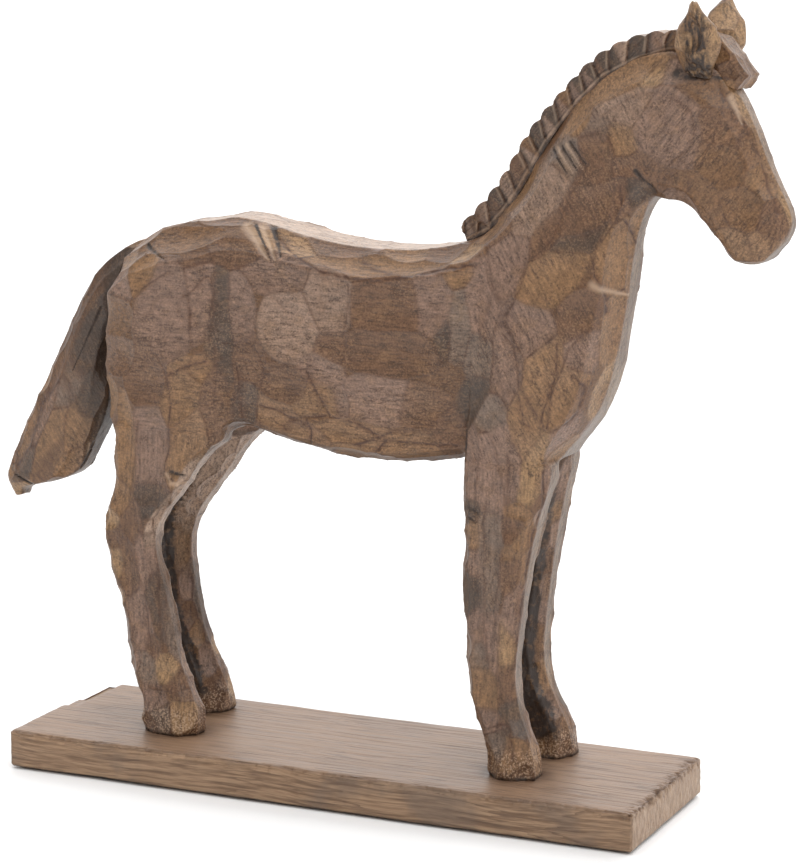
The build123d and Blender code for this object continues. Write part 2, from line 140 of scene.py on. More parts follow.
def make_studio():
    """White light from all round, one soft sun, and a white paper floor."""
    scene = bpy.context.scene
    scene.view_settings.view_transform = "Standard"
    world = bpy.data.worlds.new("studio")
    world.use_nodes = True
    scene.world = world
    light_the_sky(world.node_tree)
    make_sun("front", 60, 42, 50, 0.6)

    bm = bmesh.new()
    bmesh.ops.create_grid(bm, x_segments=8, y_segments=8, size=FLOOR_HALF)
    mesh = bpy.data.meshes.new("floor")
    bm.to_mesh(mesh)
    bm.free()
    floor = bpy.data.objects.new("floor", mesh)
    scene.collection.objects.link(floor)
    paper = bpy.data.materials.new("paper")
    paper.use_nodes = True
    shader = paper.node_tree.nodes["Principled BSDF"]
    shader.inputs["Base Color"].default_value = (PAPER_GREY, PAPER_GREY, PAPER_GREY, 1.0)
    shader.inputs["Roughness"].default_value = 0.9
    floor.data.materials.append(paper)


# ---------------------------------------------------------------- mesh helpers
def remeshed(names, voxel):
    """The closed outer skin of some CAD nodes together, as arrays: points in mm and quads."""
    bm = bmesh.new()
    for name in names:
        bm.from_mesh(NODES[name].data)
    mesh = bpy.data.meshes.new("blank")
    bm.to_mesh(mesh)
    bm.free()
    blank = bpy.data.objects.new("blank", mesh)
    bpy.context.scene.collection.objects.link(blank)
    remesh = blank.modifiers.new("remesh", "REMESH")
    remesh.mode, remesh.voxel_size = "VOXEL", voxel * MM
    graph = bpy.context.evaluated_depsgraph_get()
    skin = bpy.data.meshes.new_from_object(blank.evaluated_get(graph))
    bpy.data.objects.remove(blank)
    keep_largest(skin)
    points = np.empty(len(skin.vertices) * 3)
    skin.vertices.foreach_get("co", points)
    return Skin(points.reshape(-1, 3) / MM, skin)


def keep_largest(mesh):
    """Deletes every island of a mesh except the largest, such as the walls of an inner void."""
    bm = bmesh.new()
    bm.from_mesh(mesh)
    bm.verts.ensure_lookup_table()
    unseen, islands = set(range(len(bm.verts))), []
    while unseen:
        start = unseen.pop()
        island, edge = [start], [bm.verts[start]]
        while edge:
            vertex = edge.pop()
            for link in vertex.link_edges:
                other = link.other_vert(vertex)
                if other.index in unseen:
                    unseen.discard(other.index)
                    island.append(other.index)
                    edge.append(other)
        islands.append(island)
    largest = max(islands, key=len)
    drop = set(range(len(bm.verts))) - set(largest)
    bmesh.ops.delete(bm, geom=[bm.verts[i] for i in drop], context="VERTS")
    bm.to_mesh(mesh)
    bm.free()


class Skin:
    """A closed mesh under the knife: its points in mm, with the mesh that holds its faces."""

    def __init__(self, points, mesh):
        self.points, self.mesh = points, mesh
        self.edges = np.empty(len(mesh.edges) * 2, int)
        mesh.edges.foreach_get("vertices", self.edges)
        self.edges = self.edges.reshape(-1, 2)
        self.degree = np.bincount(self.edges.ravel(), minlength=len(points))

    def normals(self):
        self.store_points()
        found = np.empty(len(self.points) * 3)
        self.mesh.vertex_normals.foreach_get("vector", found)
        return found.reshape(-1, 3)

    def store_points(self):
        self.mesh.vertices.foreach_set("co", (self.points * MM).ravel())
        self.mesh.update()

    def neighbour_mean(self, values):
        a, b = self.edges.T
        count = len(self.points)
        columns = [np.bincount(a, column[b], count) + np.bincount(b, column[a], count)
                   for column in values.reshape(count, -1).T]
        return (np.array(columns) / self.degree).T.reshape(values.shape)

    def relax(self, weight, rounds):
        """Moves each point towards its neighbours' middle, by a weight for each point."""
        for _ in range(rounds):
            self.points += weight[:, None] * (self.neighbour_mean(self.points) - self.points)

    def soften(self, rounds):
        """Smooths without shrinking: each inward step is followed by a longer outward one."""
        every = np.ones(len(self.points))
        for _ in range(rounds):
            self.relax(0.5 * every, 1)
            self.relax(-0.53 * every, 1)

    def smooth_field(self, values, rounds):
        for _ in range(rounds):
            values = 0.5 * (values + self.neighbour_mean(values))
        return values

    def heights(self):
        return self.points[:, 2] - BOARD_TOP

    def sides(self):
        """-1 on the foal's right of the midline and 1 on its left."""
        return np.where(self.points[:, 1] < MIDLINE, -1.0, 1.0)


def ramp(low, high, values):
    """0 below low, 1 above high, and a smooth step between."""
    t = np.clip((values - low) / (high - low), 0.0, 1.0)
    return t * t * (3 - 2 * t)


def perlin(points, size, offset=0.0):
    """Smooth noise at each point, about -1 to 1, with lumps of the given size in mm."""
    shift = Vector((offset, 1.7 * offset, -offset))
    return np.array([noise.noise(Vector(p) / size + shift) for p in points])


def store(mesh, name, values):
    """A per-point attribute: a number, or a colour where values has three columns."""
    if values.ndim == 1:
        attribute = mesh.attributes.new(name, "FLOAT", "POINT")
        attribute.data.foreach_set("value", values.astype(np.float32))
        return
    attribute = mesh.attributes.new(name, "FLOAT_COLOR", "POINT")
    rgba = np.column_stack([values, np.ones(len(values))])
    attribute.data.foreach_set("color", rgba.astype(np.float32).ravel())


def add_piece(name, mesh, material, slot, *stands_for):
    """Puts a finished mesh in the scene, in place of the CAD nodes that it stands for."""
    piece = bpy.data.objects.new(name, mesh)
    bpy.context.scene.collection.objects.link(piece)
    mesh.materials.clear()
    mesh.materials.append(material)
    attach(piece, "root")
    if stands_for:
        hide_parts(*stands_for)
    return piece


# ---------------------------------------------------------------- colours
def linear(red, green, blue):
    """A screen colour, 0 to 255 in each channel, as the linear colour that a shader takes."""
    channels = [c / 255 for c in (red, green, blue)]
    return np.array([c / 12.92 if c < 0.04045 else ((c + 0.055) / 1.055) ** 2.4 for c in channels])


TONES = {
    "pale": linear(134, 109, 92),
    "mauve": linear(123, 97, 82),
    "ochre": linear(127, 95, 65),
    "brown": linear(101, 72, 51),
    "umber": linear(106, 75, 48),
    "dark": linear(74, 59, 48),
    "grey": linear(109, 91, 78),
    "tan": linear(146, 115, 82),
}
# Painted highlight, laid on faces turned upwards and on the hind legs' lit fronts.
LIT_TOP_COLOUR = linear(166, 141, 122)
# Laid on the sawn bands, which are rubbed lighter, and on the legs' lit fronts as painted light.
FRONT_COLOUR = linear(116, 101, 88)
HALO_COLOUR = linear(92, 58, 36)
CREASE_COLOUR = linear(72, 46, 32)
# Dark staining in knife strokes, and painted shade between the legs, under the body, on the tail and round
# the ears.
STAIN_AND_SHADE_COLOUR = linear(48, 34, 25)
FLECK_COLOUR = linear(160, 127, 95)
# Bare wood in fresh cuts and on the hooves, and painted highlights on the mane's locks.
BARE_AND_HIGHLIGHT_COLOUR = linear(186, 158, 132)


# ---------------------------------------------------------------- the carver's cuts
# The cuts seen from the foal's right side, grouped by the muscle they shape. Each has its centre's
# x and height, its half length and half width, the slope of its length in degrees, and its tone.
CUTS = {
    "croup": [
        (-94, 218, 6, 3, 45, "umber"), (-70, 223, 17, 6, 5, "umber"), (-45, 220, 13, 6, 0, "brown"),
        (-91, 210, 10, 7, 60, "ochre"),
    ],
    "haunch": [
        (-79, 195, 20, 14, 75, "mauve"), (-62, 196, 16, 8, 85, "mauve"), (-52, 199, 20, 5, 90, "dark"),
        (-87, 162, 14, 10, 90, "brown"), (-70, 157, 14, 8, 70, "ochre"), (-61, 168, 10, 5, 30, "ochre"),
        (-55, 161, 15, 4, 85, "brown"),
    ],
    "flank": [
        (-40, 173, 10, 7, 90, "brown"), (-43, 194, 15, 7, 90, "mauve"), (-41, 156, 10, 5, 85, "dark"),
        (-26, 150, 14, 4, -20, "ochre"), (-19, 163, 11, 7, -20, "brown"), (-18, 193, 14, 14, 90, "pale"),
        (-23, 212, 14, 7, -10, "mauve"), (-18, 223, 12, 4, -25, "tan"),
    ],
    "barrel": [
        (0, 202, 13, 11, 90, "pale"), (25, 203, 16, 12, 0, "brown"), (32, 180, 19, 9, 0, "brown"),
        (47, 203, 12, 9, 90, "mauve"), (54, 193, 7, 3, 90, "dark"), (60, 196, 14, 6, 90, "grey"),
        (70, 210, 14, 7, 90, "mauve"), (4, 217, 18, 4, -10, "ochre"), (34, 217, 20, 4, 0, "ochre"),
        (62, 224, 7, 4, 30, "tan"), (78, 236, 7, 4, 20, "brown"),
    ],
    "belly": [
        (9, 147, 15, 5, -5, "ochre"), (39, 141, 19, 4, 0, "ochre"), (-6, 158, 11, 8, 20, "ochre"),
        (-10, 143, 11, 4, -20, "ochre"), (5, 160, 6, 4, 100, "mauve"), (22, 160, 15, 9, 0, "mauve"),
        (45, 159, 12, 8, 0, "brown"), (57, 150, 10, 7, 90, "brown"),
    ],
    "elbow": [
        (71, 184, 10, 7, 90, "grey"), (67, 166, 13, 5, 60, "dark"), (77, 160, 8, 6, 60, "grey"),
        (83, 177, 16, 6, 90, "mauve"), (74, 197, 14, 5, 90, "mauve"), (92, 148, 14, 7, 90, "ochre"),
        (80, 147, 14, 5, 90, "mauve"), (105, 150, 9, 5, 70, "mauve"),
    ],
    "shoulder": [
        (92, 197, 11, 9, 0, "mauve"), (115, 200, 11, 9, 60, "brown"), (100, 176, 17, 7, 80, "ochre"),
        (109, 166, 16, 9, 60, "ochre"), (117, 186, 11, 8, 75, "mauve"), (124, 196, 14, 8, 80, "ochre"),
        (120, 167, 12, 7, 55, "tan"),
    ],
    "neck": [
        (105, 266, 9, 7, -50, "grey"), (95, 250, 18, 8, 55, "pale"), (81, 223, 15, 7, 65, "mauve"),
        (118, 264, 15, 7, 85, "brown"), (114, 247, 15, 9, 60, "brown"), (113, 234, 12, 5, 35, "dark"),
        (105, 221, 15, 8, 50, "ochre"), (126, 226, 15, 8, 80, "ochre"), (132, 236, 12, 4, 80, "ochre"),
        (135, 256, 6, 6, 60, "dark"), (129, 252, 9, 3, 75, "brown"),
    ],
    "poll": [
        (148, 281, 16, 13, 75, "mauve"), (128, 299, 19, 6, 30, "ochre"), (141, 302, 6, 4, 20, "tan"),
        (129, 288, 13, 6, 25, "pale"), (119, 279, 9, 6, 45, "grey"), (127, 275, 10, 5, -55, "ochre"),
        (157, 302, 11, 4, 0, "mauve"),
    ],
    "cheek": [
        (142, 261, 14, 7, -10, "brown"), (155, 256, 10, 4, -35, "umber"), (170, 282, 10, 9, -60, "brown"),
        (161, 296, 12, 5, -10, "umber"), (171, 266, 13, 9, -50, "umber"), (165, 250, 13, 5, -40, "umber"),
    ],
    "muzzle": [
        (176, 292, 16, 4, -60, "tan"), (185, 272, 13, 3, -65, "ochre"), (180, 270, 8, 6, -60, "umber"),
        (185, 259, 8, 7, -60, "ochre"), (179, 249, 10, 9, -50, "umber"), (191, 244, 8, 7, -60, "brown"),
        (177, 234, 7, 6, -50, "ochre"), (188, 235, 9, 6, -10, "ochre"), (194, 253, 10, 3, -65, "tan"),
    ],
    "hind leg": [
        (-100, 135, 19, 4, 90, "ochre"), (-87, 131, 22, 8, 90, "mauve"), (-69, 133, 17, 8, 60, "ochre"),
        (-86, 112, 7, 7, 90, "dark"), (-101, 110, 9, 4, 90, "ochre"), (-108, 97, 4, 4, 60, "tan"),
        (-98, 96, 10, 5, 85, "brown"), (-88, 101, 5, 4, 0, "dark"), (-106, 87, 4, 3, 90, "brown"),
        (-105, 79, 6, 3, 100, "tan"), (-100, 75, 16, 4, -80, "brown"), (-91, 77, 14, 5, -85, "mauve"),
        (-95, 55, 13, 5, -80, "mauve"), (-86, 59, 14, 5, -75, "dark"), (-81, 51, 13, 4, -70, "grey"),
        (-90, 30, 6, 4, -75, "grey"), (-82, 31, 5, 5, -75, "tan"), (-88, 17, 6, 6, 90, "mauve"),
        (-84, 8, 6, 4, -80, "grey"), (-73, 10, 7, 6, -80, "tan"), (-75, 21, 7, 4, -75, "brown"),
    ],
    "foreleg": [
        (67, 131, 12, 3, 90, "mauve"), (76, 130, 19, 6, 90, "mauve"), (85, 136, 15, 4, 85, "mauve"),
        (94, 135, 15, 5, 80, "tan"), (88, 117, 4, 3, 0, "ochre"), (87, 110, 5, 5, 0, "brown"),
        (91, 105, 7, 4, 60, "ochre"), (85, 98, 4, 3, 0, "ochre"), (85, 89, 8, 4, 90, "brown"),
        (87, 77, 7, 4, 60, "mauve"), (85, 68, 6, 4, 80, "mauve"), (82, 56, 9, 4, 85, "tan"),
        (76, 90, 22, 5, 90, "grey"), (68, 116, 4, 4, 0, "dark"), (69, 104, 7, 4, 90, "ochre"),
        (68, 93, 6, 4, 90, "mauve"), (67, 78, 9, 4, 90, "dark"), (70, 65, 7, 4, 90, "mauve"),
        (71, 51, 7, 4, 90, "grey"), (77, 60, 11, 4, 90, "mauve"), (74, 37, 10, 5, -75, "ochre"),
        (82, 39, 9, 4, -80, "brown"), (75, 24, 6, 4, -75, "mauve"), (80, 15, 6, 5, -75, "grey"),
        (86, 27, 8, 5, -65, "dark"), (87, 11, 6, 5, 90, "ochre"),
    ],
}

# Broad swells and hollows under the cuts: x, height, half length, half height, how far out.
SWELLS = [
    (-80, 190, 26, 36, 1.2),  # haunch
    (-48, 176, 8, 34, -2.4),  # flank, in front of the thigh
    (62, 160, 9, 20, -2.2),  # behind the elbow
    (96, 186, 22, 34, 0.8),  # shoulder
    (148, 281, 17, 17, 0.9),  # cheek
    (122, 250, 11, 17, -1.2),  # throat
    (-97, 96, 9, 14, 0.8),  # hock
    (76, 88, 10, 12, 0.6),  # knee
]

# Single strokes of a V-tool or knife, and one painted shadow below the ear: start and end in x and height,
# half width, depth, tone.
STROKES = [
    (-94, 220, -79, 215, 1.3, 0.8, "dark"),
    (-45, 231, -29, 218, 2.6, 1.0, "tan"),
    (-41, 231, -28, 218, 0.8, 0.6, "dark"),
    (-38, 231, -26, 218, 2.0, 1.0, "tan"),
    (-34, 232, -24, 219, 1.8, 0.8, "dark"),
    (119, 215, 129, 209, 2.2, 0.4, "tan"),
    (134, 262, 142, 254, 1.2, 1.0, "dark"),
    (172, 293, 177, 282, 1.5, 0.5, "tan"),
    (64, 150, 64, 137, 1.2, 1.4, "dark"),
    (-79, 120, -77, 116, 1.3, 0.5, "tan"),
    (-77, 116, -71, 117, 1.3, 0.5, "tan"),
    (-77, 121, -71, 120, 1.6, 0.5, "dark"),
    # Not a cut: a painted shadow on the head below the ear, with a slight dent.
    (151, 302, 168, 300, 3.0, 0.2, "dark"),
    (66, 117, 71, 115, 0.9, 0.8, "dark"),
    (66, 113, 70, 111, 0.8, 0.6, "dark"),
    (98, 269, 106, 259, 0.9, 0.7, "dark"),
    (100, 270, 108, 260, 0.9, 0.3, "tan"),
    (102, 271, 110, 261, 0.9, 0.7, "dark"),
    (104, 272, 112, 262, 0.9, 0.3, "tan"),
    (106, 273, 114, 263, 0.9, 0.7, "dark"),
]

# The borders between cuts that show most: how strongly, and points in x and height on the right
# side. The wax has gathered in them, so they read as fine dark lines.
BORDERS = {
    "haunch top": (0.5, [(-76, 211), (-84, 206), (-94, 199), (-100, 192)]),
    "haunch leaf": (0.6, [
        (-69, 200), (-63, 205), (-58, 211), (-55, 206), (-55, 198), (-56, 190), (-57, 182),
    ]),
    "thigh": (0.9, [(-81, 172), (-77, 165), (-77, 157), (-76, 149), (-78, 135)]),
    "thigh top": (0.9, [(-77, 165), (-72, 167), (-67, 170), (-59, 172)]),
    "thigh front": (0.5, [(-55, 178), (-54, 168), (-56, 155)]),
    "flank fold": (1.0, [(-46, 172), (-44, 164), (-44, 155), (-43, 146)]),
    "flank edge": (0.5, [(-46, 164), (-47, 150), (-48, 145)]),
    "flank oval": (0.6, [(-42, 182), (-37, 180), (-33, 176), (-31, 170), (-33, 162)]),
    "flank foot": (0.6, [(-33, 176), (-24, 175), (-11, 171), (-8, 174)]),
    "flank top": (0.4, [(-20, 196), (-28, 204), (-34, 211)]),
    "back chamfer": (0.9, [(-28, 226), (-17, 219), (-7, 215), (10, 212), (28, 212), (51, 217), (67, 221)]),
    "back edge": (0.35, [(-43, 233), (-35, 232), (-22, 228), (0, 223), (28, 222), (50, 225)]),
    "barrel rear": (0.5, [(10, 211), (10, 200), (8, 184), (11, 178), (16, 175)]),
    "belly": (0.9, [
        (-34, 154), (-24, 152), (-18, 149), (-11, 151), (1, 152), (12, 151), (22, 146), (27, 143),
        (47, 143), (59, 143),
    ]),
    "belly rear": (0.9, [(-10, 171), (-5, 161), (1, 152)]),
    "belly notch": (0.9, [(-11, 151), (-8, 143), (-10, 137)]),
    "belly front": (0.9, [(27, 143), (22, 138)]),
    "withers": (0.5, [(71, 233), (73, 222), (74, 213), (80, 205)]),
    "neck strip": (0.55, [(80, 205), (88, 209), (90, 223), (100, 231), (108, 253), (113, 263)]),
    "shoulder foot": (0.6, [(80, 193), (87, 187), (89, 172), (90, 157), (93, 154)]),
    "shoulder leaf": (0.9, [
        (105, 190), (105, 176), (99, 162), (99, 153), (104, 153), (111, 158), (115, 168), (116, 174),
        (112, 177),
    ]),
    "shoulder top": (0.6, [(108, 181), (110, 189), (119, 197)]),
    "throat": (0.9, [(128, 256), (129, 247), (125, 238), (119, 229), (119, 220), (123, 213), (123, 203)]),
    "throat leaf": (0.9, [(129, 241), (132, 231), (131, 223)]),
    "chest edge": (0.9, [(132, 232), (131, 223), (129, 206), (126, 189), (124, 176), (118, 161), (111, 149)]),
    "forearm": (0.9, [(99, 136), (98, 123), (93, 105), (89, 78), (86, 59)]),
    "forearm rear": (0.5, [(84, 143), (84, 122), (82, 105), (79, 78), (77, 60)]),
    "cannon": (0.5, [(73, 119), (73, 95), (73, 69), (74, 51)]),
    "cheek": (0.5, [(148, 293), (157, 289), (160, 282), (158, 272), (150, 267)]),
    "nose edge": (0.6, [(167, 297), (172, 290), (178, 281), (184, 269), (189, 256), (193, 246)]),
    "nose bridge": (0.5, [(178, 281), (177, 272)]),
    "crest": (0.3, [(114, 280), (121, 286), (133, 293), (144, 295)]),
    "gaskin": (0.5, [(-93, 143), (-95, 125), (-98, 104)]),
    "shin": (0.5, [(-80, 108), (-88, 85), (-86, 61), (-83, 39)]),
    "hock": (0.6, [(-100, 88), (-96, 79), (-92, 61), (-90, 43), (-89, 33)]),
    "rear coronet": (0.5, [(-90, 20), (-77, 20), (-72, 21)]),
    "front coronet": (0.8, [(75, 21), (83, 25), (86, 20), (87, 9)]),
}
BORDER_WIDTH, BORDER_DEPTH = 0.45, 0.35
HALO_WIDTH, HALO_REACH = 2.2, 7.0

CUT_RISE = 0.14  # how deep a cut is at its middle, as a share of its half width
CUT_LIFT = 0.45  # how far the ridges between cuts stand up, as a share of the same depth
WARP, WARP_SIZE = 1.4, 13.0  # how far the cuts' edges wander, and over what distance
LEG_RISE = 1.1  # how much deeper the cuts on the legs are
LEG_TOP, TAIL_FRONT = 135.0, -116.0  # the legs are below the one and in front of the other
BARK_DEPTH = 0.2  # the legs' rough, knobbly ripple
HOOF_HEIGHT = 15.0
FRONT_ROW, FRONT_UNSHADED = 2.5, 6.0  # how the legs' fronts are found, and how much of them the painted shade leaves out
BAND_DEPTH = 0.18  # how much of a cut's depth is left on the flat sawn outline
FILL_TRIES = 9000  # how many places are tried for a filling cut


def along_and_across(normal, slope):
    """A cut's own axes on the surface, for a length that slopes by some degrees in side view."""
    s = math.radians(slope)
    along = np.array([math.cos(s), 0.0, math.sin(s)])
    along = along - normal * (along @ normal)
    along /= max(np.linalg.norm(along), 1e-6)
    return along, np.cross(normal, along)


def on_leg(points):
    """Whether each point is on a leg, below the body and in front of the tail."""
    return (points[..., 2] - BOARD_TOP < LEG_TOP) & (points[..., 0] > TAIL_FRONT)


class Cut:
    """One shallow scoop: its centre, axes, half sizes, lean and colour."""

    def __init__(self, centre, normal, half_length, half_width, slope, colour):
        self.centre, self.normal = centre, normal
        self.along, self.across = along_and_across(normal, slope)
        self.half_length, self.half_width = half_length, half_width
        self.lean = RNG.uniform(-0.045, 0.045, 2)
        self.depth = CUT_RISE * half_width * RNG.uniform(0.8, 1.25) * (LEG_RISE if on_leg(centre) else 1.0)
        self.colour = colour * RNG.uniform(0.93, 1.07)
        self.outline = RNG.choice([0.0, 0.15, 0.3, 0.55])

    def height(self, points):
        """How far out the surface that this cut leaves stands, in mm, at each point."""
        way = points - self.centre
        u, v, w = way @ self.along, way @ self.across, way @ self.normal
        d2 = (u / self.half_length) ** 2 + (v / self.half_width) ** 2 + (1.6 * w / self.half_width) ** 2
        return self.depth * (d2 - 1.0) + self.lean[0] * u + self.lean[1] * v


def side_cuts(skin, normals, groups):
    """The listed cuts, laid on the right side and again, a little altered, on the left."""
    cuts = []
    for side in (-1.0, 1.0):
        outer = np.nonzero((skin.sides() == side) & (normals[:, 1] * side > 0.2))[0]
        flat = skin.points[outer][:, [0, 2]]
        for group in groups.values():
            for x, height, half_length, half_width, slope, tone in group:
                spot = np.array([x, height + BOARD_TOP])
                size = 1.0
                if side > 0:
                    spot = spot + RNG.uniform(-2.5, 2.5, 2)
                    size, slope = RNG.uniform(0.85, 1.2), slope + RNG.uniform(-15, 15)
                index = outer[np.argmin(((flat - spot) ** 2).sum(1))]
                cuts.append(Cut(skin.points[index], normals[index], size * half_length,
                                size * half_width, slope, TONES[tone]))
    return cuts


def grain_slope(x, height):
    """The way the carver worked: along the body, up the neck, down the face and the legs."""
    if height < LEG_TOP:
        return 88.0
    if x > 140:
        return -55.0
    if x > 75:
        return 62.0
    return 5.0


def filling_cuts(skin, normals, cuts, widths, tones, slope_at):
    """More cuts wherever the given ones leave a gap, until the whole skin is covered."""
    made = list(cuts)
    for index in RNG.choice(len(skin.points), min(FILL_TRIES, len(skin.points)), replace=False):
        point, normal = skin.points[index], normals[index]
        height = point[2] - BOARD_TOP
        half_width = RNG.uniform(*widths) * (0.55 if height < LEG_TOP else 0.8 if point[0] > 130 else 1.0)
        half_length = half_width * RNG.uniform(1.1, 1.9)
        if made and overlap(made, point, half_length, half_width):
            continue
        slope = slope_at(point[0], height) + RNG.uniform(-25, 25)
        colour = TONES[tones[RNG.integers(len(tones))]]
        made.append(Cut(point, normal, half_length, half_width, slope, colour))
    return made


def overlap(cuts, point, half_length, half_width):
    """Whether a cut of this size at a point would lie mostly on one that is there."""
    way = point - np.array([c.centre for c in cuts])
    length = np.array([c.half_length for c in cuts]) + 0.7 * half_length
    width = np.array([c.half_width for c in cuts]) + 0.7 * half_width
    along = (way * np.array([c.along for c in cuts])).sum(1)
    across_squared = (way ** 2).sum(1) - along ** 2
    return ((along / length) ** 2 + across_squared / width ** 2).min() < 1.0


def carve(skin, normals, cuts):
    """The lowest cut at each point is the surface. Also gives the two lowest cuts' heights and the
    lowest one's number."""
    count = len(skin.points)
    lowest, second = np.full(count, 0.9), np.full(count, 1.0)
    owner, runner_up = np.zeros(count, int), np.zeros(count, int)
    warp = [perlin(skin.points, WARP_SIZE, offset) for offset in (21.0, 33.0, 47.0)]
    points = skin.points + WARP * np.column_stack(warp)
    for number, cut in enumerate(cuts):
        reach = 2.0 * max(cut.half_length, cut.half_width)
        near = np.nonzero((np.abs(points - cut.centre) < reach).all(1) & (normals @ cut.normal > -0.1))[0]
        height = cut.height(points[near])
        first = height < lowest[near]
        between = ~first & (height < second[near])
        won = near[first]
        second[won], runner_up[won] = lowest[won], owner[won]
        lowest[won], owner[won] = height[first], number
        placed = near[between]
        second[placed], runner_up[placed] = height[between], number
    return lowest, second, owner, runner_up


def stroke_fields(skin, normals, strokes):
    """The depth of all the single strokes at each point, and how light or dark they leave it."""
    depth, light, dark = (np.zeros(len(skin.points)) for _ in range(3))
    flat = np.column_stack([skin.points[:, 0], skin.heights()])
    for side in (-1.0, 1.0):
        outer = (skin.sides() == side) & (normals[:, 1] * side > 0.05)
        for x0, h0, x1, h1, half_width, cut_depth, tone in strokes:
            start, way = np.array([x0, h0]), np.array([x1 - x0, h1 - h0])
            if side > 0:
                start = start + RNG.uniform(-2.0, 2.0, 2)
            t = np.clip((flat - start) @ way / (way @ way), 0.0, 1.0)
            away = np.linalg.norm(flat - start - t[:, None] * way, axis=1)
            width = half_width * (1.15 - 0.9 * t)
            shape = np.where(outer, np.clip(1.0 - away / width, 0.0, 1.0), 0.0)
            depth = np.maximum(depth, cut_depth * shape)
            if tone == "dark":
                dark = np.maximum(dark, ramp(0.0, 0.8, shape))
            else:
                light = np.maximum(light, shape)
    return depth, light, dark


def rounded(points, rounds=2):
    """Cuts the corners of a line of points, and keeps its ends."""
    line = np.array(points, float)
    for _ in range(rounds):
        nearer = 0.75 * line[:-1] + 0.25 * line[1:]
        further = 0.25 * line[:-1] + 0.75 * line[1:]
        line = np.vstack([line[:1], np.stack([nearer, further], 1).reshape(-1, 2), line[-1:]])
    return line


def border_field(skin, normals, borders):
    """The line and the wider halo that the listed borders leave at each point, each from 0 to 1."""
    found, halo = np.zeros(len(skin.points)), np.zeros(len(skin.points))
    wander = 0.5 * np.column_stack([perlin(skin.points, 5.0, 11.0), perlin(skin.points, 5.0, 17.0)])
    flat = np.column_stack([skin.points[:, 0], skin.heights()]) + wander
    for side in (-1.0, 1.0):
        outer = np.nonzero((skin.sides() == side) & (normals[:, 1] * side > 0.1))[0]
        for strength, points in borders.values():
            line = rounded(points)
            if side > 0:
                line = line + RNG.uniform(-2.0, 2.0, 2)
            inside = (flat[outer] > line.min(0) - HALO_REACH) & (flat[outer] < line.max(0) + HALO_REACH)
            near = outer[inside.all(1)]
            away = np.full(len(near), 9.0)
            for start, end in zip(line, line[1:]):
                way = end - start
                t = np.clip((flat[near] - start) @ way / (way @ way), 0.0, 1.0)
                away = np.minimum(away, np.linalg.norm(flat[near] - start - t[:, None] * way, axis=1))
            found[near] = np.maximum(found[near], strength * np.exp(-(away / BORDER_WIDTH) ** 2))
            halo[near] = np.maximum(halo[near], strength * np.exp(-away / HALO_WIDTH))
    return found, halo


def swell(skin, normals):
    """Pushes the sides out or in by SWELLS."""
    x, height = skin.points[:, 0], skin.heights()
    out = np.zeros(len(x))
    for centre_x, centre_h, half_x, half_h, amount in SWELLS:
        out += amount * np.exp(-((x - centre_x) / half_x) ** 2 - ((height - centre_h) / half_h) ** 2)
    outward = np.abs(normals[:, 1]) * (normals[:, 1] * skin.sides() > 0)
    skin.points += normals * (out * outward)[:, None]


def smooth_joints(skin):
    """Blends the blocks into each other where they meet, as the carver did."""
    x, height = skin.points[:, 0], skin.heights()
    hip = np.exp(-((height - (HIP_CUT - BOARD_TOP)) / 7) ** 2) * (x < -45)
    elbow = np.exp(-((height - (ELBOW_CUT - BOARD_TOP)) / 7) ** 2) * (x > 58)
    shoulder = np.exp(-((x - 67) / 7) ** 2) * (height > 136)
    poll = np.exp(-((x - 139) / 6) ** 2) * (height > 250)
    weight = np.clip(hip + elbow + shoulder + poll, 0.0, 1.0)
    skin.relax(0.5 * weight, 25)


def sculpt(skin, normals, band, rubbed_and_lit, cuts, strokes=(), borders=None):
    """Carves a skin by its cuts, and stores what the wood's material reads at each point. band is where the
    sawn outline is left nearly flat; the next mask is where the wood is rubbed lighter, and where light is
    painted on as a lighter colour."""
    lowest, second, owner, runner_up = carve(skin, normals, cuts)
    depths = np.array([c.depth for c in cuts])
    level = lowest + CUT_LIFT * depths[owner]
    gap = (second - lowest) / (4 * CUT_RISE)
    stroke_depth, light, dark = stroke_fields(skin, normals, strokes)
    border, halo = border_field(skin, normals, borders or {})
    rough = 0.12 * perlin(skin.points, 6.0) + 0.07 * perlin(skin.points, 2.0, 5.0)
    bark = perlin(skin.points * np.array([1.0, 1.0, 0.4]), 2.6, 8.0) + 0.5 * perlin(skin.points, 1.6, 4.0)
    rough += BARK_DEPTH * bark * on_leg(skin.points) * (1 - 0.6 * band)
    out = level * (1 - (1 - BAND_DEPTH) * band) + rough - stroke_depth - BORDER_DEPTH * border
    skin.points += normals * out[:, None]
    skin.store_points()

    colours = np.array([c.colour for c in cuts])
    outlines = np.array([c.outline for c in cuts])
    share = 0.4 * np.exp(-gap / 0.8)[:, None]
    tint = colours[owner] * (1 - share) + colours[runner_up] * share
    outline = np.minimum(outlines[owner], outlines[runner_up]) + 0.3
    store(skin.mesh, "tint", skin.smooth_field(tint, 1))
    store(skin.mesh, "crease", np.maximum(outline * np.exp(-(gap / 0.35) ** 2), border))
    store(skin.mesh, "halo", np.maximum(halo, 0.8 * outline * np.exp(-gap / 0.9)))
    store(skin.mesh, "rubbed_and_lit", rubbed_and_lit)
    store(skin.mesh, "light", light)
    store(skin.mesh, "dark", dark)


def soft_normals(skin, rounds):
    """The surface's normals without its small dents."""
    normals = skin.smooth_field(skin.normals(), rounds)
    return normals / np.linalg.norm(normals, axis=1, keepdims=True)


# ---------------------------------------------------------------- the body
BODY_BLOCKS = ["trunk", "neck", "head", "hindleg_right", "hindleg_left", "foreleg_right", "foreleg_left"]
# Joined with the blocks, so that their bores don't show in the skin as hollows.
BODY_PLUGS = ["hip_dowels", "elbow_dowels", "shoulder_dowels", "poll_dowels", "base_screws",
              "tail_dowel", "ear_pins", "mane_pins"]
BODY_VOXEL = 0.6
BODY_TONES = ("mauve", "brown", "ochre", "mauve", "umber", "ochre", "brown", "pale")
BODY_CUT_WIDTHS = (5.0, 8.5)


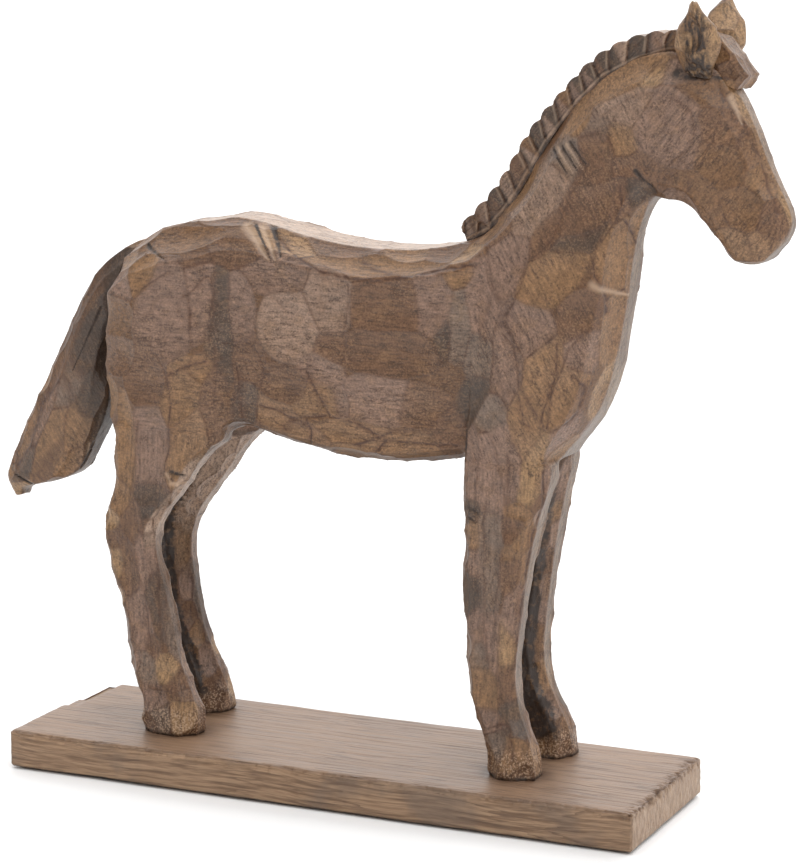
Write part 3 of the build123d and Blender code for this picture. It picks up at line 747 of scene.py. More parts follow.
def carve_body():
    """The trunk, neck, head and legs as one skin, since the carver's cuts run over their joints."""
    skin = remeshed(BODY_BLOCKS + BODY_PLUGS, BODY_VOXEL)
    smooth_joints(skin)
    skin.soften(3)
    swell(skin, skin.normals())
    normals = soft_normals(skin, 3)
    band = skin.smooth_field(1.0 - ramp(0.22, 0.5, np.abs(normals[:, 1])), 2)
    x, height = skin.points[:, 0], skin.heights()
    faded = np.where(x < 0, ramp(70, 105, height), ramp(20, 42, height))
    cuts = filling_cuts(skin, normals, side_cuts(skin, normals, CUTS), BODY_CUT_WIDTHS,
                        BODY_TONES, grain_slope)
    edge = skin.smooth_field(1.0 - ramp(0.1, 0.32, np.abs(normals[:, 1])), 2)
    # The hind legs' faces that look forward, and a strip down the far legs' fronts, take a painted highlight,
    # as if lit from in front.
    far_edge = ramp(1.0, -1.0, behind_front(skin) - unshaded_width(skin)) * (skin.sides() > 0)
    facing = np.maximum(ramp(0.5, 0.75, normals[:, 0]), far_edge)
    front = on_leg(skin.points) * (x < 0) * ramp(80, 96, height) * facing
    # The sawn bands are rubbed lighter; the lit fronts are painted lighter as well.
    rubbed_and_lit = np.maximum(edge * faded, front)
    sculpt(skin, normals, band, rubbed_and_lit, cuts, STROKES, BORDERS)
    # Painted highlight: faces turned upwards, and the lit fronts, are laid with a lighter colour as if lit
    # from above and in front.
    bright = front * np.where(skin.sides() < 0, 1.0, 0.85)
    store(skin.mesh, "top", np.maximum(ramp(0.25, 0.8, normals[:, 2]), bright))
    foot = ramp(HOOF_HEIGHT, HOOF_HEIGHT - 6.0, height + 3.0 * perlin(skin.points, 8.0, 6.0))
    store(skin.mesh, "hoof", foot)
    # Painted shade: the legs' inner faces, faces turned downwards and the lowest 2 mm of the hooves are
    # darkened where shade falls.
    darken(skin, 1.3 * shade_between_legs(skin, normals) + 0.35 * ramp(0.5, 0.9, -normals[:, 2])
           + 0.8 * ramp(2.2, 0.4, height))
    return skin


def behind_front(skin):
    """How far each point is behind the front of its own leg at its own height, in mm."""
    x = skin.points[:, 0]
    row = np.clip(skin.heights() / FRONT_ROW, 0, 200).astype(int)
    leg = row * 4 + 2 * (x > 0) + (skin.sides() > 0)
    front = np.full(leg.max() + 1, -np.inf)
    np.maximum.at(front, leg, x)
    return front[leg] - x


def shade_between_legs(skin, normals):
    """The inner faces of the legs and the ground between them, where shade is painted on as a darker colour.
    """
    inward = ramp(0.45, 0.75, -normals[:, 1] * skin.sides())
    deep = ramp(0.0, 1.5, behind_front(skin) - unshaded_width(skin))
    return on_leg(skin.points) * inward * deep * ramp(5, 14, skin.heights())


def unshaded_width(skin):
    """How wide the strip behind each leg's front edge is that the painted shade leaves out, and that takes a
    painted highlight on the far legs: broad above the hock.
    """
    hind = skin.points[:, 0] < 0
    above = ramp(75, 110, skin.heights()) * hind
    return FRONT_UNSHADED * np.where(hind, 1.0, 0.4) + 4.5 * above + 1.3 * perlin(skin.points, 9.0, 3.0)


def darken(skin, amount):
    """Adds to the darkening that a sculpted skin already has, for painted shade and for other dark marks."""
    attribute = skin.mesh.attributes["dark"]
    values = np.empty(len(skin.points), np.float32)
    attribute.data.foreach_get("value", values)
    attribute.data.foreach_set("value", np.clip(values + amount, 0.0, 1.0).astype(np.float32))


# ---------------------------------------------------------------- materials
class Nodes:
    """A material's node tree, with short ways to add nodes and to build its colour in layers."""

    def __init__(self, name):
        self.material = bpy.data.materials.new(name)
        self.material.use_nodes = True
        self.tree = self.material.node_tree
        self.shader = self.tree.nodes["Principled BSDF"]
        self.place = self.add("ShaderNodeTexCoord").outputs["Object"]
        self.colour = None

    def add(self, kind, inputs=None, **settings):
        node = self.tree.nodes.new(kind)
        for key, value in settings.items():
            setattr(node, key, value)
        for key, value in (inputs or {}).items():
            self.put(value, node.inputs[key])
        return node

    def put(self, value, socket):
        if isinstance(value, bpy.types.NodeSocket):
            self.tree.links.new(value, socket)
        elif isinstance(value, np.ndarray):
            socket.default_value = (*value, 1.0)
        else:
            socket.default_value = value

    def stored(self, name):
        """A number that was stored on the mesh."""
        return self.add("ShaderNodeAttribute", attribute_name=name).outputs["Fac"]

    def maths(self, operation, *values):
        node = self.add("ShaderNodeMath", operation=operation)
        for value, socket in zip(values, node.inputs):
            self.put(value, socket)
        return node.outputs[0]

    def times(self, first, second):
        return self.maths("MULTIPLY", first, second)

    def plus(self, first, second):
        return self.maths("ADD", first, second)

    def blend(self, factor, first, second, kind="MIX"):
        node = self.add("ShaderNodeMix", data_type="RGBA", blend_type=kind)
        for value, index in ((factor, 0), (first, 6), (second, 7)):
            self.put(value, node.inputs[index])
        return node.outputs[2]

    def stretched(self, vector, scale):
        return self.add("ShaderNodeMapping", {"Vector": vector, "Scale": scale}).outputs[0]

    def noise(self, vector, scale, detail=4.0, rough=0.55):
        inputs = {"Vector": vector, "Scale": scale, "Detail": detail, "Roughness": rough}
        return self.add("ShaderNodeTexNoise", inputs).outputs["Fac"]

    def step(self, value, low, high):
        inputs = {"Value": value, "From Min": low, "From Max": high}
        return self.add("ShaderNodeMapRange", inputs, interpolation_type="SMOOTHSTEP").outputs["Result"]

    def lay(self, mask, strength, colour):
        """Lays a colour over the ones before it where the mask is 1, to the given strength."""
        self.colour = self.blend(self.times(mask, strength), self.colour, colour)

    def shade(self, value):
        """Makes the colour so far lighter or darker by a factor."""
        grey = self.add("ShaderNodeCombineColor", {"Red": value, "Green": value, "Blue": value})
        self.colour = self.blend(1.0, self.colour, grey.outputs[0], "MULTIPLY")

    def finished(self, roughness, height=None, strength=0.6, distance=0.0006):
        """Joins the layers, a roughness and, where given, a fine bump to the shader."""
        self.put(self.colour, self.shader.inputs["Base Color"])
        self.put(roughness, self.shader.inputs["Roughness"])
        if height is not None:
            bump = self.add("ShaderNodeBump", {"Height": height, "Strength": strength, "Distance": distance})
            self.put(bump.outputs[0], self.shader.inputs["Normal"])
        return self.material


def carved_wood(name, grain_turn):
    """Stained, waxed carved wood, with painted highlights and painted shade laid on from the mesh. grain_turn
    is the grain's slope in side view, in degrees.
    """
    n = Nodes(name)
    turn = {"Vector": n.place, "Rotation": (0.0, math.radians(grain_turn), 0.0)}
    along_grain = n.stretched(n.add("ShaderNodeMapping", turn).outputs[0], (0.25, 1.0, 1.0))
    patch = n.noise(n.place, 34.0, 3.0, 0.55)
    blotch = n.noise(n.place, 95.0, 4.0, 0.65)
    mottle = n.noise(n.place, 330.0, 3.0, 0.6)
    strokes = n.noise(along_grain, 760.0, 2.0, 0.5)
    speckle = n.noise(n.place, 1150.0, 2.0, 0.6)
    fibres = n.noise(n.stretched(along_grain, (0.35, 1.0, 1.0)), 1000.0, 2.0, 0.5)
    cracks = n.noise(along_grain, 230.0, 4.0, 0.6)

    n.colour = n.add("ShaderNodeAttribute", attribute_name="tint").outputs["Color"]
    n.lay(n.step(blotch, 0.5, 0.66), 0.3, TONES["ochre"])
    n.lay(n.step(blotch, 0.47, 0.34), 0.3, TONES["brown"])
    n.lay(n.step(patch, 0.52, 0.66), 0.15, TONES["pale"])
    # The sawn bands are rubbed lighter, and the legs' lit fronts take a lighter colour as painted light.
    rubbed_and_lit = n.stored("rubbed_and_lit")
    n.lay(rubbed_and_lit, 0.75, FRONT_COLOUR)
    # Painted highlight: the tops of the lighter bands are laid lighter still, as if lit from above.
    n.lay(n.times(rubbed_and_lit, n.stored("top")), 0.85, LIT_TOP_COLOUR)
    n.lay(n.times(n.stored("halo"), n.step(blotch, 0.35, 0.6)), 0.8, HALO_COLOUR)
    shade = -1.15
    for pattern, weight in ((mottle, 0.9), (strokes, 0.8), (speckle, 1.5), (fibres, 1.1)):
        shade = n.plus(n.times(pattern, weight), shade)
    n.shade(shade)
    flecked = n.times(n.step(speckle, 0.53, 0.63), n.plus(n.step(patch, 0.4, 0.6), 0.25))
    n.lay(flecked, 0.2, FLECK_COLOUR)
    n.lay(n.times(n.stored("hoof"), n.step(speckle, 0.5, 0.6)), 0.7, BARE_AND_HIGHLIGHT_COLOUR)
    n.lay(n.times(n.step(strokes, 0.43, 0.34), n.step(speckle, 0.55, 0.45)), 0.5, CREASE_COLOUR)
    nearness = n.step(n.maths("ABSOLUTE", n.maths("SUBTRACT", cracks, 0.5)), 0.014, 0.004)
    cracked = n.times(nearness, n.step(patch, 0.42, 0.55))
    n.lay(cracked, 0.65, CREASE_COLOUR)
    n.lay(n.times(n.stored("crease"), n.plus(n.step(mottle, 0.4, 0.6), 0.4)), 0.95, CREASE_COLOUR)
    # Bare wood in light strokes, and the painted highlights on the mane's locks.
    n.lay(n.times(n.stored("light"), n.step(strokes, 0.1, 0.4)), 0.7, BARE_AND_HIGHLIGHT_COLOUR)
    # The dark attribute: dark knife strokes, and painted shade between the legs, under the body, on the tail
    # and round the ears' feet.
    n.lay(n.times(n.stored("dark"), n.plus(n.step(mottle, 0.35, 0.6), 0.6)), 0.88, STAIN_AND_SHADE_COLOUR)
    relief = n.plus(n.times(strokes, 0.7), n.times(speckle, 0.45))
    relief = n.maths("SUBTRACT", relief, n.times(cracked, 0.4))
    return n.finished(n.plus(n.times(speckle, 0.35), 0.27), relief)


# How steeply the grain slopes in side view, in degrees.
GRAIN = {"trunk": 0.0, "neck": -60.0, "head": 52.0, "hindleg_right": 88.0, "hindleg_left": 88.0,
         "foreleg_right": 88.0, "foreleg_left": 88.0}


# ---------------------------------------------------------------- parting the body at its glue faces
# The glue faces across the neck, each as its lower and upper end in x and height.
SHOULDER = ((62.0, 134.0), (70.0, 230.0))
POLL = ((141.0, 248.0), (136.0, 310.0))
HIND_FRONT, FORE_REAR, HEAD_FOOT = -45, 55, 230  # what keeps each cut to its own block


def line_plane(line):
    """A point and a forward normal for the plane across Y through a line in side view, in mm."""
    (x0, h0), (x1, h1) = line
    normal = Vector((h1 - h0, 0.0, x0 - x1)).normalized()
    return Vector((x0, MIDLINE, h0 + BOARD_TOP)), normal


def beyond(point, line):
    """Whether a point is in front of a glue face."""
    origin, normal = line_plane(line)
    return (point - origin).dot(normal) > 0


def block_of(point):
    """Which carved block a point of the body belongs to, for a point in mm."""
    if point.x < HIND_FRONT and point.z < HIP_CUT:
        return "hindleg_right" if point.y < MIDLINE else "hindleg_left"
    if point.x > FORE_REAR and point.z < ELBOW_CUT:
        return "foreleg_right" if point.y < MIDLINE else "foreleg_left"
    if beyond(point, POLL) and point.z > HEAD_FOOT:
        return "head"
    if beyond(point, SHOULDER):
        return "neck"
    return "trunk"


def slice_at(bm, origin, normal, near):
    """Cuts the body's faces along a plane, for the faces that near(point in mm) picks."""
    faces = [f for f in bm.faces if near(f.calc_center_median() / MM)]
    verts = {v for f in faces for v in f.verts}
    edges = {e for f in faces for e in f.edges}
    bmesh.ops.bisect_plane(bm, geom=[*verts, *edges, *faces], plane_co=origin * MM, plane_no=normal,
                           dist=1e-7)


def part_body(skin):
    """Splits the carved body into its blocks, each closed with a flat face where it was glued."""
    bm = bmesh.new()
    bm.from_mesh(skin.mesh)
    up = Vector((0.0, 0.0, 1.0))
    slice_at(bm, Vector((0.0, 0.0, HIP_CUT)), up, lambda p: p.x < HIND_FRONT and abs(p.z - HIP_CUT) < 4)
    slice_at(bm, Vector((0.0, 0.0, ELBOW_CUT)), up, lambda p: p.x > FORE_REAR and abs(p.z - ELBOW_CUT) < 4)
    slice_at(bm, *line_plane(SHOULDER), lambda p: 50 < p.x < 80 and p.z > ELBOW_CUT - 2)
    slice_at(bm, *line_plane(POLL), lambda p: 125 < p.x < 150 and p.z > 240)
    owner = {name: [] for name in BODY_BLOCKS}
    for face in bm.faces:
        owner[block_of(face.calc_center_median() / MM)].append(face.index)
    bm.faces.ensure_lookup_table()
    pieces = {}
    for name in BODY_BLOCKS:
        block = bm.copy()
        block.faces.ensure_lookup_table()
        keep = set(owner[name])
        drop = [f for f in block.faces if f.index not in keep]
        bmesh.ops.delete(block, geom=drop, context="FACES")
        rim = [e for e in block.edges if e.is_boundary]
        caps = bmesh.ops.holes_fill(block, edges=rim, sides=0)["faces"]
        flat = set(caps)
        for face in block.faces:
            face.smooth = face not in flat
        bmesh.ops.triangulate(block, faces=caps)
        mesh = bpy.data.meshes.new(name + "_carved")
        block.to_mesh(mesh)
        block.free()
        mesh.validate()  # drops the doubled faces that holes_fill can leave in a notch of the rim
        pieces[name] = mesh
    bm.free()
    return pieces


# ---------------------------------------------------------------- tail, forelock and ears
TAIL_CUTS = {
    "dock": [
        (-116, 207, 12, 4, 50, "dark"), (-112, 196, 13, 6, 62, "dark"), (-127, 195, 16, 4, 58, "brown"),
    ],
    "length": [
        (-124, 180, 20, 6, 60, "dark"), (-137, 172, 26, 3, 60, "brown"), (-134, 163, 16, 5, 65, "grey"),
        (-121, 165, 15, 5, 65, "dark"), (-139, 152, 10, 5, 65, "grey"), (-128, 149, 15, 5, 66, "dark"),
        (-151, 145, 22, 3, 60, "ochre"),
    ],
    "skirt": [
        (-146, 132, 18, 6, 64, "ochre"), (-136, 131, 15, 6, 66, "ochre"), (-159, 128, 20, 4, 60, "mauve"),
        (-125, 134, 16, 4, 62, "dark"), (-140, 118, 11, 5, 55, "ochre"), (-152, 116, 14, 5, 55, "ochre"),
        (-165, 114, 13, 5, 62, "dark"), (-169, 103, 7, 4, 40, "tan"),
    ],
}
TAIL_STROKES = [
    (-121, 190, -136, 160, 0.7, 0.5, "dark"),
    (-128, 125, -137, 113, 2.2, 1.2, "dark"),
    (-131, 126, -133, 119, 0.8, 0.4, "tan"),
    (-161, 105, -172, 109, 1.1, 0.9, "dark"),
]


TAIL_VOXEL, FORELOCK_VOXEL, EAR_VOXEL = 0.7, 0.4, 0.35


def tail_slope(_x, _height):
    return 60.0


def carve_tail():
    """Long narrow cuts that run down it, with painted shade below the dock and on its inner edge, and lighter
    on its lower edge.
    """
    skin = remeshed(["tail"], TAIL_VOXEL)
    skin.soften(4)
    normals = soft_normals(skin, 3)
    band = skin.smooth_field(1.0 - ramp(0.3, 0.7, np.abs(normals[:, 1])), 2)
    lower_edge = ramp(-0.1, 0.4, -normals[:, 2])
    cuts = filling_cuts(skin, normals, side_cuts(skin, normals, TAIL_CUTS), (4.0, 5.5),
                        ("brown", "ochre", "brown"), tail_slope)
    sculpt(skin, normals, band, band * lower_edge, cuts, TAIL_STROKES)
    store(skin.mesh, "top", np.zeros(len(normals)))
    # Painted shade: the tail's sides high up by the rump, and its inner edge low down, facing the hind legs.
    shaded = ramp(150, 190, skin.heights()) * ramp(0.2, 0.8, np.abs(normals[:, 1]))
    inner_edge = ramp(0.3, 0.8, normals[:, 0]) * ramp(100, 140, skin.heights())
    darken(skin, 0.3 * shaded + 0.6 * inner_edge)
    return skin.mesh


def carve_forelock():
    """A small block with a few cuts, dark where it meets the ears."""
    skin = remeshed(["forelock"], FORELOCK_VOXEL)
    skin.soften(3)
    normals = soft_normals(skin, 2)
    cuts = filling_cuts(skin, normals, [], (3.6, 5.2), ("umber", "brown", "ochre"), grain_slope)
    top = ramp(0.3, 0.8, normals[:, 2])
    # The top is laid lighter, as a painted highlight.
    sculpt(skin, normals, 0.4 * top, 0.3 * top, cuts)
    store(skin.mesh, "top", 0.3 * top)
    darken(skin, 0.45 * ramp(0.4, 0.9, np.abs(normals[:, 1])) * ramp(172, 160, skin.points[:, 0]))
    return skin.mesh


EAR_FOOT, EAR_POINT = 0.2, 0.4  # how much the ear is widened low down, and drawn in at its tip


def carve_ear(name):
    """The scooped face is rough and streaked dark, and its rims and back are lighter; the ear's foot takes a
    painted shadow.
    """
    skin = remeshed([name], EAR_VOXEL)
    skin.soften(3)
    normals = soft_normals(skin, 2)
    low, high = skin.points.min(0), skin.points.max(0)
    side = -1.0 if (low[1] + high[1]) / 2 < MIDLINE else 1.0
    up = (skin.points[:, 2] - low[2]) / (high[2] - low[2])
    middle = skin.points[:, 0].mean()
    breadth = 1.0 + EAR_FOOT * np.exp(-((up - 0.38) / 0.28) ** 2) - EAR_POINT * ramp(0.66, 1.0, up)
    skin.points[:, 0] = middle + (skin.points[:, 0] - middle) * breadth
    centred = 1.0 - np.abs(skin.points[:, 0] - middle) / (0.42 * (high[0] - low[0]))
    scoop = ramp(0.1, 0.6, normals[:, 1] * side) * ramp(0.0, 0.45, centred) * ramp(1.0, 0.75, up)
    cuts = filling_cuts(skin, normals, [], (4.0, 6.0), ("tan", "ochre", "tan"), tail_slope)
    sculpt(skin, normals, np.zeros(len(up)), np.zeros(len(up)), cuts)
    store(skin.mesh, "top", np.zeros(len(up)))
    stretched = skin.points * np.array([1.0, 1.0, 0.16])
    streaks = perlin(stretched, 1.2)
    skin.points += normals * (0.4 * scoop * streaks)[:, None]
    skin.store_points()
    # Painted shadow at the ear's foot, where it meets the head.
    root = ramp(0.3, 0.0, up + 0.1 * streaks)
    darken(skin, scoop * np.clip(0.85 + 1.4 * streaks - 0.3 * up, 0.0, 1.0) + 0.6 * root)
    return skin.mesh


# ---------------------------------------------------------------- mane
# Points along the mane's seat on the crest, as x, height and the mane's depth there.
MANE_SEAT = [(55.5, 228, 7.5), (64.5, 232, 11), (73, 241, 11), (80, 251, 10.5), (92, 271, 10),
             (106, 288.5, 9.5), (117, 299, 10), (130, 305.5, 10.5), (143, 310, 9), (152, 311, 8)]
MANE_VOXEL = 0.45
MANE_LOCKS = 16
LOCK_SLANT = 0.65  # how far a lock leans from root to edge, in locks
LOCK_DEPTH = 1.1


def along_mane(points):
    """How far along the mane and how far out from its seat each point is, both from 0 to 1."""
    seat = np.array(MANE_SEAT, float)
    fine = np.linspace(0, len(seat) - 1, 120)
    line = np.column_stack([np.interp(fine, np.arange(len(seat)), seat[:, i]) for i in range(3)])
    way = np.gradient(line[:, :2], axis=0)
    way /= np.linalg.norm(way, axis=1, keepdims=True)
    outward = np.column_stack([-way[:, 1], way[:, 0]])
    edge = line[:, :2] + outward * line[:, 2:]
    run = np.concatenate([[0], np.cumsum(np.linalg.norm(np.diff(edge, axis=0), axis=1))])
    flat = np.column_stack([points[:, 0], points[:, 2] - BOARD_TOP])
    middle = (line[:, :2] + edge) / 2
    nearest = np.array([np.argmin(((middle - p) ** 2).sum(1)) for p in flat])
    off = flat - line[nearest, :2]
    out = (off * outward[nearest]).sum(1) / line[nearest, 2]
    forward = ((flat - middle[nearest]) * way[nearest]).sum(1)
    return (run[nearest] + forward) / run[-1], out


def carve_mane():
    """Sixteen leaning locks on each side. Each laps over the next like a shingle, and is cut again
    slantwise into a lower and an upper facet."""
    skin = remeshed(["mane"], MANE_VOXEL)
    skin.soften(2)
    normals = soft_normals(skin, 3)
    along, out = along_mane(skin.points)
    wander = 0.3 * perlin(np.column_stack([along * 60, out * 4, skin.sides() * 9]), 6.0)
    place = along * MANE_LOCKS - LOCK_SLANT * (out - 0.5) + wander
    lock, share = np.floor(place).astype(int), np.mod(place, 1.0)
    flank = ramp(0.25, 0.75, np.abs(normals[:, 1]))
    crossing = share - 0.5 + 0.7 * (out - 0.5)
    shingle = share - 0.3 * np.maximum(crossing, 0) - 0.9 * ramp(0.93, 1.0, share)
    level = LOCK_DEPTH * (shingle - 0.5) * (0.3 + 0.7 * flank) * ramp(0.02, 0.3, out)
    level *= 1 - 0.45 * ramp(0.7, 1.0, out)
    twist = 0.25 * perlin(np.column_stack([place * 5.0, out * 4.0, skin.sides() * 20]), 2.0)
    ledge = ramp(0.24, 0.1, out) * flank
    skin.points += normals * (level * (1 - ledge) + twist * flank - 0.25 * ledge)[:, None]
    skin.store_points()

    facet = np.clip(2 * lock + (crossing > 0) + 4, 0, 2 * MANE_LOCKS + 7)
    palette = np.array([TONES[t] for t in ("mauve", "dark", "brown", "dark", "pale", "umber")])
    tones = palette[RNG.integers(0, len(palette), 2 * MANE_LOCKS + 8)]
    tint = tones[facet] * (0.95 - 0.25 * ramp(0.3, 0.0, along))[:, None]
    store(skin.mesh, "tint", skin.smooth_field(tint, 2))
    store(skin.mesh, "crease", 0.9 * np.exp(-((np.minimum(share, 1 - share)) / 0.06) ** 2) * flank)
    store(skin.mesh, "halo", 0.5 * np.exp(-(crossing / 0.05) ** 2) * flank)
    # Painted highlight: the mane's upward crest faces are laid lighter, as if lit from above.
    store(skin.mesh, "rubbed_and_lit", 0.5 * ramp(0.75, 0.95, out) * (1 - flank))
    store(skin.mesh, "top", ramp(0.25, 0.8, normals[:, 2]))
    # Painted highlight near each lock's upper edge and painted shade on its lower side; also darker along the
    # seat at the neck, with a light and a dark line along the ledge.
    store(skin.mesh, "light", 0.5 * np.exp(-((share - 0.85) / 0.06) ** 2) * flank * ramp(0.2, 0.4, out)
          + 0.6 * np.exp(-((out - 0.17) / 0.04) ** 2))
    store(skin.mesh, "dark", 0.55 * ramp(0.3, 0.05, share) * flank + 0.8 * np.exp(-((out - 0.02) / 0.05) ** 2)
          + 0.4 * np.exp(-((out - 0.26) / 0.03) ** 2))
    return skin.mesh


# ---------------------------------------------------------------- board and felt
BOARD_VOXEL = 1.0
BOARD_GRAIN_DEPTH = 0.2
EDGE_WEAR = 2.0
FELT_GRID = (146, 41)


def carve_board():
    """A plank with raised grain, worn edges, a chipped far corner and a dented right end."""
    skin = remeshed(["base_board", "base_screws"], BOARD_VOXEL)
    low, high = (np.array(corner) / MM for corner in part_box("base_board"))
    inset = np.minimum(skin.points - low, high - skin.points)
    near = np.sort(inset, axis=1)[:, 1]
    skin.relax(0.4 * ramp(EDGE_WEAR, 0.0, near), 2)
    normals = soft_normals(skin, 2)
    x, y, z = skin.points.T
    grain = perlin(skin.points * np.array([0.05, 1.0, 1.0]), 2.2) \
        + 0.6 * perlin(skin.points * np.array([0.09, 1.0, 1.0]), 5.0, 3.0)
    level = BOARD_GRAIN_DEPTH * (grain - 0.3) - 0.15 * (perlin(skin.points, 14.0, 9.0) + 1) * ramp(4, 0, near)

    top_edge = ramp(high[2] - 5, high[2] - 1, z)
    bites = np.clip(perlin(skin.points, 5.5, 2.0), 0, 1) + 0.8 * np.clip(perlin(skin.points, 2.2, 6.0), 0, 1)
    level -= 2.4 * bites * top_edge * ramp(high[0] - 6, high[0] - 1, x)
    level -= 1.1 * bites * top_edge * ramp(low[1] + 2.5, low[1] + 0.5, y)
    step = ramp(low[0] + 9, low[0] + 4, x) * (ramp(2, 5, y) + ramp(16, 19, y)) * top_edge
    level -= 1.1 * step
    skin.points += normals * level[:, None]
    middle = (low + high) / 2
    fill = (high - middle) / np.abs(skin.points - middle).max(0)
    skin.points[:, :2] = (middle + (skin.points - middle) * fill)[:, :2]
    skin.points = np.clip(skin.points, low, high)
    skin.store_points()

    # The board is darker round each hoof, most round the right forehoof.
    darker_round_hooves = np.zeros(len(x))
    for name in ("hindleg_right", "hindleg_left", "foreleg_right", "foreleg_left"):
        centre, half = hoof_print(name)
        away = np.linalg.norm((skin.points[:, :2] - centre) / half, axis=1)
        darker_round_hooves = np.maximum(darker_round_hooves, (1.0 if name == "foreleg_right" else 0.6) * ramp(1.9, 0.9, away))
    darker_round_hooves *= top_edge * np.clip(0.8 + 0.6 * perlin(skin.points, 7.0, 4.0), 0, 1)
    store(skin.mesh, "darker_round_hooves", darker_round_hooves)
    ragged = top_edge * np.clip(2 * bites, 0, 1) * ramp(high[0] - 8, high[0] - 2, x)
    worn = ramp(1.8, 0.4, near) * np.clip(0.5 + perlin(skin.points, 9.0, 7.0), 0, 1)
    store(skin.mesh, "wear", worn + ragged)
    # Painted sheen: the board's top takes a pinkish-grey colour, as if it reflected the bright sky.
    store(skin.mesh, "top", ramp(0.4, 0.9, normals[:, 2]))
    store(skin.mesh, "end", ramp(0.5, 0.9, np.abs(normals[:, 0])))
    return skin.mesh


def hoof_print(name):
    """The middle and the half size of a hoof's sole, from its CAD leg."""
    sole = np.array([v.co for v in NODES[name].data.vertices if v.co.z < (BOARD_TOP + 1) * MM]) / MM
    low, high = sole.min(0)[:2], sole.max(0)[:2]
    return (low + high) / 2, (high - low) / 2


def make_felt():
    """A thin sheet whose cut edges are a little thinner than its middle."""
    low, high = (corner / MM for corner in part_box("felt_sheet"))
    bm = bmesh.new()
    bmesh.ops.create_grid(bm, x_segments=FELT_GRID[0], y_segments=FELT_GRID[1], size=1.0)
    lower = bmesh.ops.extrude_face_region(bm, geom=bm.faces[:])["geom"]
    upper = set(bm.verts) - {g for g in lower if isinstance(g, bmesh.types.BMVert)}
    centre, half = (low + high) / 2, (high - low) / 2
    for vertex in bm.verts:
        edge = max(abs(vertex.co.x), abs(vertex.co.y)) > 0.999
        z = high.z if vertex in upper else low.z
        z += (centre.z - z) * (0.35 if edge else 0.05)
        vertex.co = Vector((centre.x + vertex.co.x * half.x, centre.y + vertex.co.y * half.y, z)) * MM
    bmesh.ops.recalc_face_normals(bm, faces=bm.faces[:])
    for face in bm.faces:
        face.smooth = True
    mesh = bpy.data.meshes.new("felt")
    bm.to_mesh(mesh)
    bm.free()
    return mesh


def plank_wood():
    """Planed and stained wood, with its rings and pores along the board, lighter end grain, and a painted
    sheen on its top.
    """
    n = Nodes("plank")
    bent = n.add("ShaderNodeTexNoise", {"Vector": n.place, "Scale": 9.0, "Detail": 2.0}).outputs["Color"]
    warp = n.add("ShaderNodeVectorMath", {0: bent, 1: (0.012, 0.012, 0.012)}, operation="MULTIPLY")
    warped = n.add("ShaderNodeVectorMath", {0: n.place, 1: warp.outputs[0]}, operation="ADD")
    long_way = n.stretched(warped.outputs[0], (0.045, 1.0, 1.0))
    rings = n.noise(long_way, 120.0, 3.0, 0.55)
    lines = n.noise(long_way, 700.0, 4.0, 0.6)
    pores = n.noise(long_way, 2000.0, 2.0, 0.6)
    patch = n.noise(n.place, 22.0, 4.0, 0.6)
    brushed = n.noise(n.stretched(n.place, (1.0, 1.0, 0.2)), 900.0, 3.0, 0.6)

    n.colour = n.blend(n.step(lines, 0.36, 0.64), linear(116, 88, 64), linear(158, 128, 100))
    n.lay(n.step(patch, 0.5, 0.64), 0.6, linear(112, 94, 80))
    # Painted reflection: the top's sheen, laid as colour.
    n.lay(n.stored("top"), 0.65, linear(128, 101, 80))
    ring_edge = n.step(n.maths("FRACT", n.times(rings, 9.0)), 0.7, 0.98)
    ring_edge = n.times(ring_edge, n.step(patch, 0.36, 0.56))
    n.lay(ring_edge, 0.6, linear(84, 60, 44))
    n.lay(n.step(lines, 0.44, 0.32), 0.5, linear(96, 72, 54))
    end_grain = n.blend(n.step(brushed, 0.38, 0.62), linear(132, 106, 84), linear(166, 140, 116))
    n.lay(n.stored("end"), 0.9, end_grain)
    n.lay(n.times(n.stored("wear"), n.step(patch, 0.35, 0.55)), 0.75, linear(84, 60, 42))
    # Darker round the hooves.
    n.lay(n.stored("darker_round_hooves"), 0.9, linear(70, 46, 28))
    n.shade(n.plus(n.times(pores, 0.7), 0.65))
    height = n.maths("SUBTRACT", lines, n.times(ring_edge, 0.5))
    return n.finished(n.plus(n.times(lines, 0.35), 0.3), height)


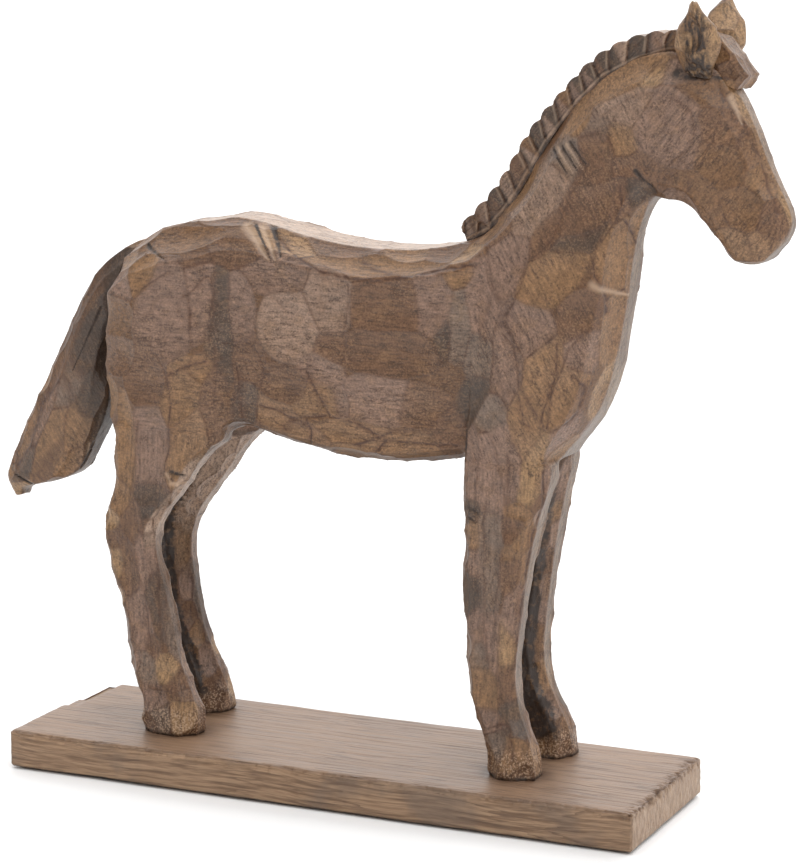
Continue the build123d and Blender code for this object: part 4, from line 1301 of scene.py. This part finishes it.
def felt_cloth():
    """Grey felt, of fine fibres matted in clumps."""
    n = Nodes("felt")
    fibres = n.noise(n.place, 1500.0, 6.0, 0.8)
    clumps = n.noise(n.place, 240.0, 4.0, 0.6)
    mixed = n.plus(n.times(fibres, 0.6), n.times(clumps, 0.4))
    n.colour = n.blend(mixed, linear(44, 40, 38), linear(104, 97, 90))
    n.shader.inputs["Sheen Weight"].default_value = 0.35
    return n.finished(0.95, mixed, 0.8, 0.0003)


def beech():
    """Bare fluted-dowel wood, with its rays as short dark flecks."""
    n = Nodes("beech")
    flecks = n.noise(n.place, 1400.0, 3.0, 0.6)
    bands = n.noise(n.place, 260.0, 3.0, 0.6)
    n.colour = n.blend(bands, linear(196, 160, 118), linear(222, 190, 148))
    n.lay(n.step(flecks, 0.56, 0.68), 0.6, linear(150, 110, 74))
    return n.finished(n.plus(n.times(flecks, 0.2), 0.5))


def zinc():
    """Bright zinc plate, dulled in patches."""
    n = Nodes("zinc")
    dull = n.noise(n.place, 800.0, 4.0, 0.6)
    n.colour = n.blend(dull, linear(170, 172, 172), linear(206, 206, 200))
    n.shader.inputs["Metallic"].default_value = 1.0
    return n.finished(n.plus(n.times(dull, 0.3), 0.22))


def refinish(names, material):
    """A better material on CAD nodes whose shape is right."""
    for name in names:
        NODES[name].data.materials.clear()
        NODES[name].data.materials.append(material)


# ---------------------------------------------------------------- the scene
make_camera()
make_studio()
body = carve_body()
for block_name, block_mesh in part_body(body).items():
    wood = carved_wood(block_name + "_wood", GRAIN[block_name])
    add_piece(block_name + "_carved", block_mesh, wood, "carved_wood", block_name)
add_piece("tail_carved", carve_tail(), carved_wood("tail_wood", -60.0), "carved_wood", "tail")
add_piece("mane_carved", carve_mane(), carved_wood("mane_wood", 40.0), "mane_wood", "mane")
add_piece("forelock_carved", carve_forelock(), carved_wood("forelock_wood", 40.0), "mane_wood", "forelock")
ear_wood = carved_wood("ear_wood", 85.0)
for ear_name in ("ear_right", "ear_left"):
    add_piece(ear_name + "_carved", carve_ear(ear_name), ear_wood, "carved_wood", ear_name)
add_piece("board_worn", carve_board(), plank_wood(), "board_wood", "base_board")
felt = add_piece("felt_cut", make_felt(), felt_cloth(), "felt", "felt_sheet")
refinish([n for n in NODES if n.endswith(("dowels", "dowel", "pins"))], beech())
refinish(["base_screws"], zinc())
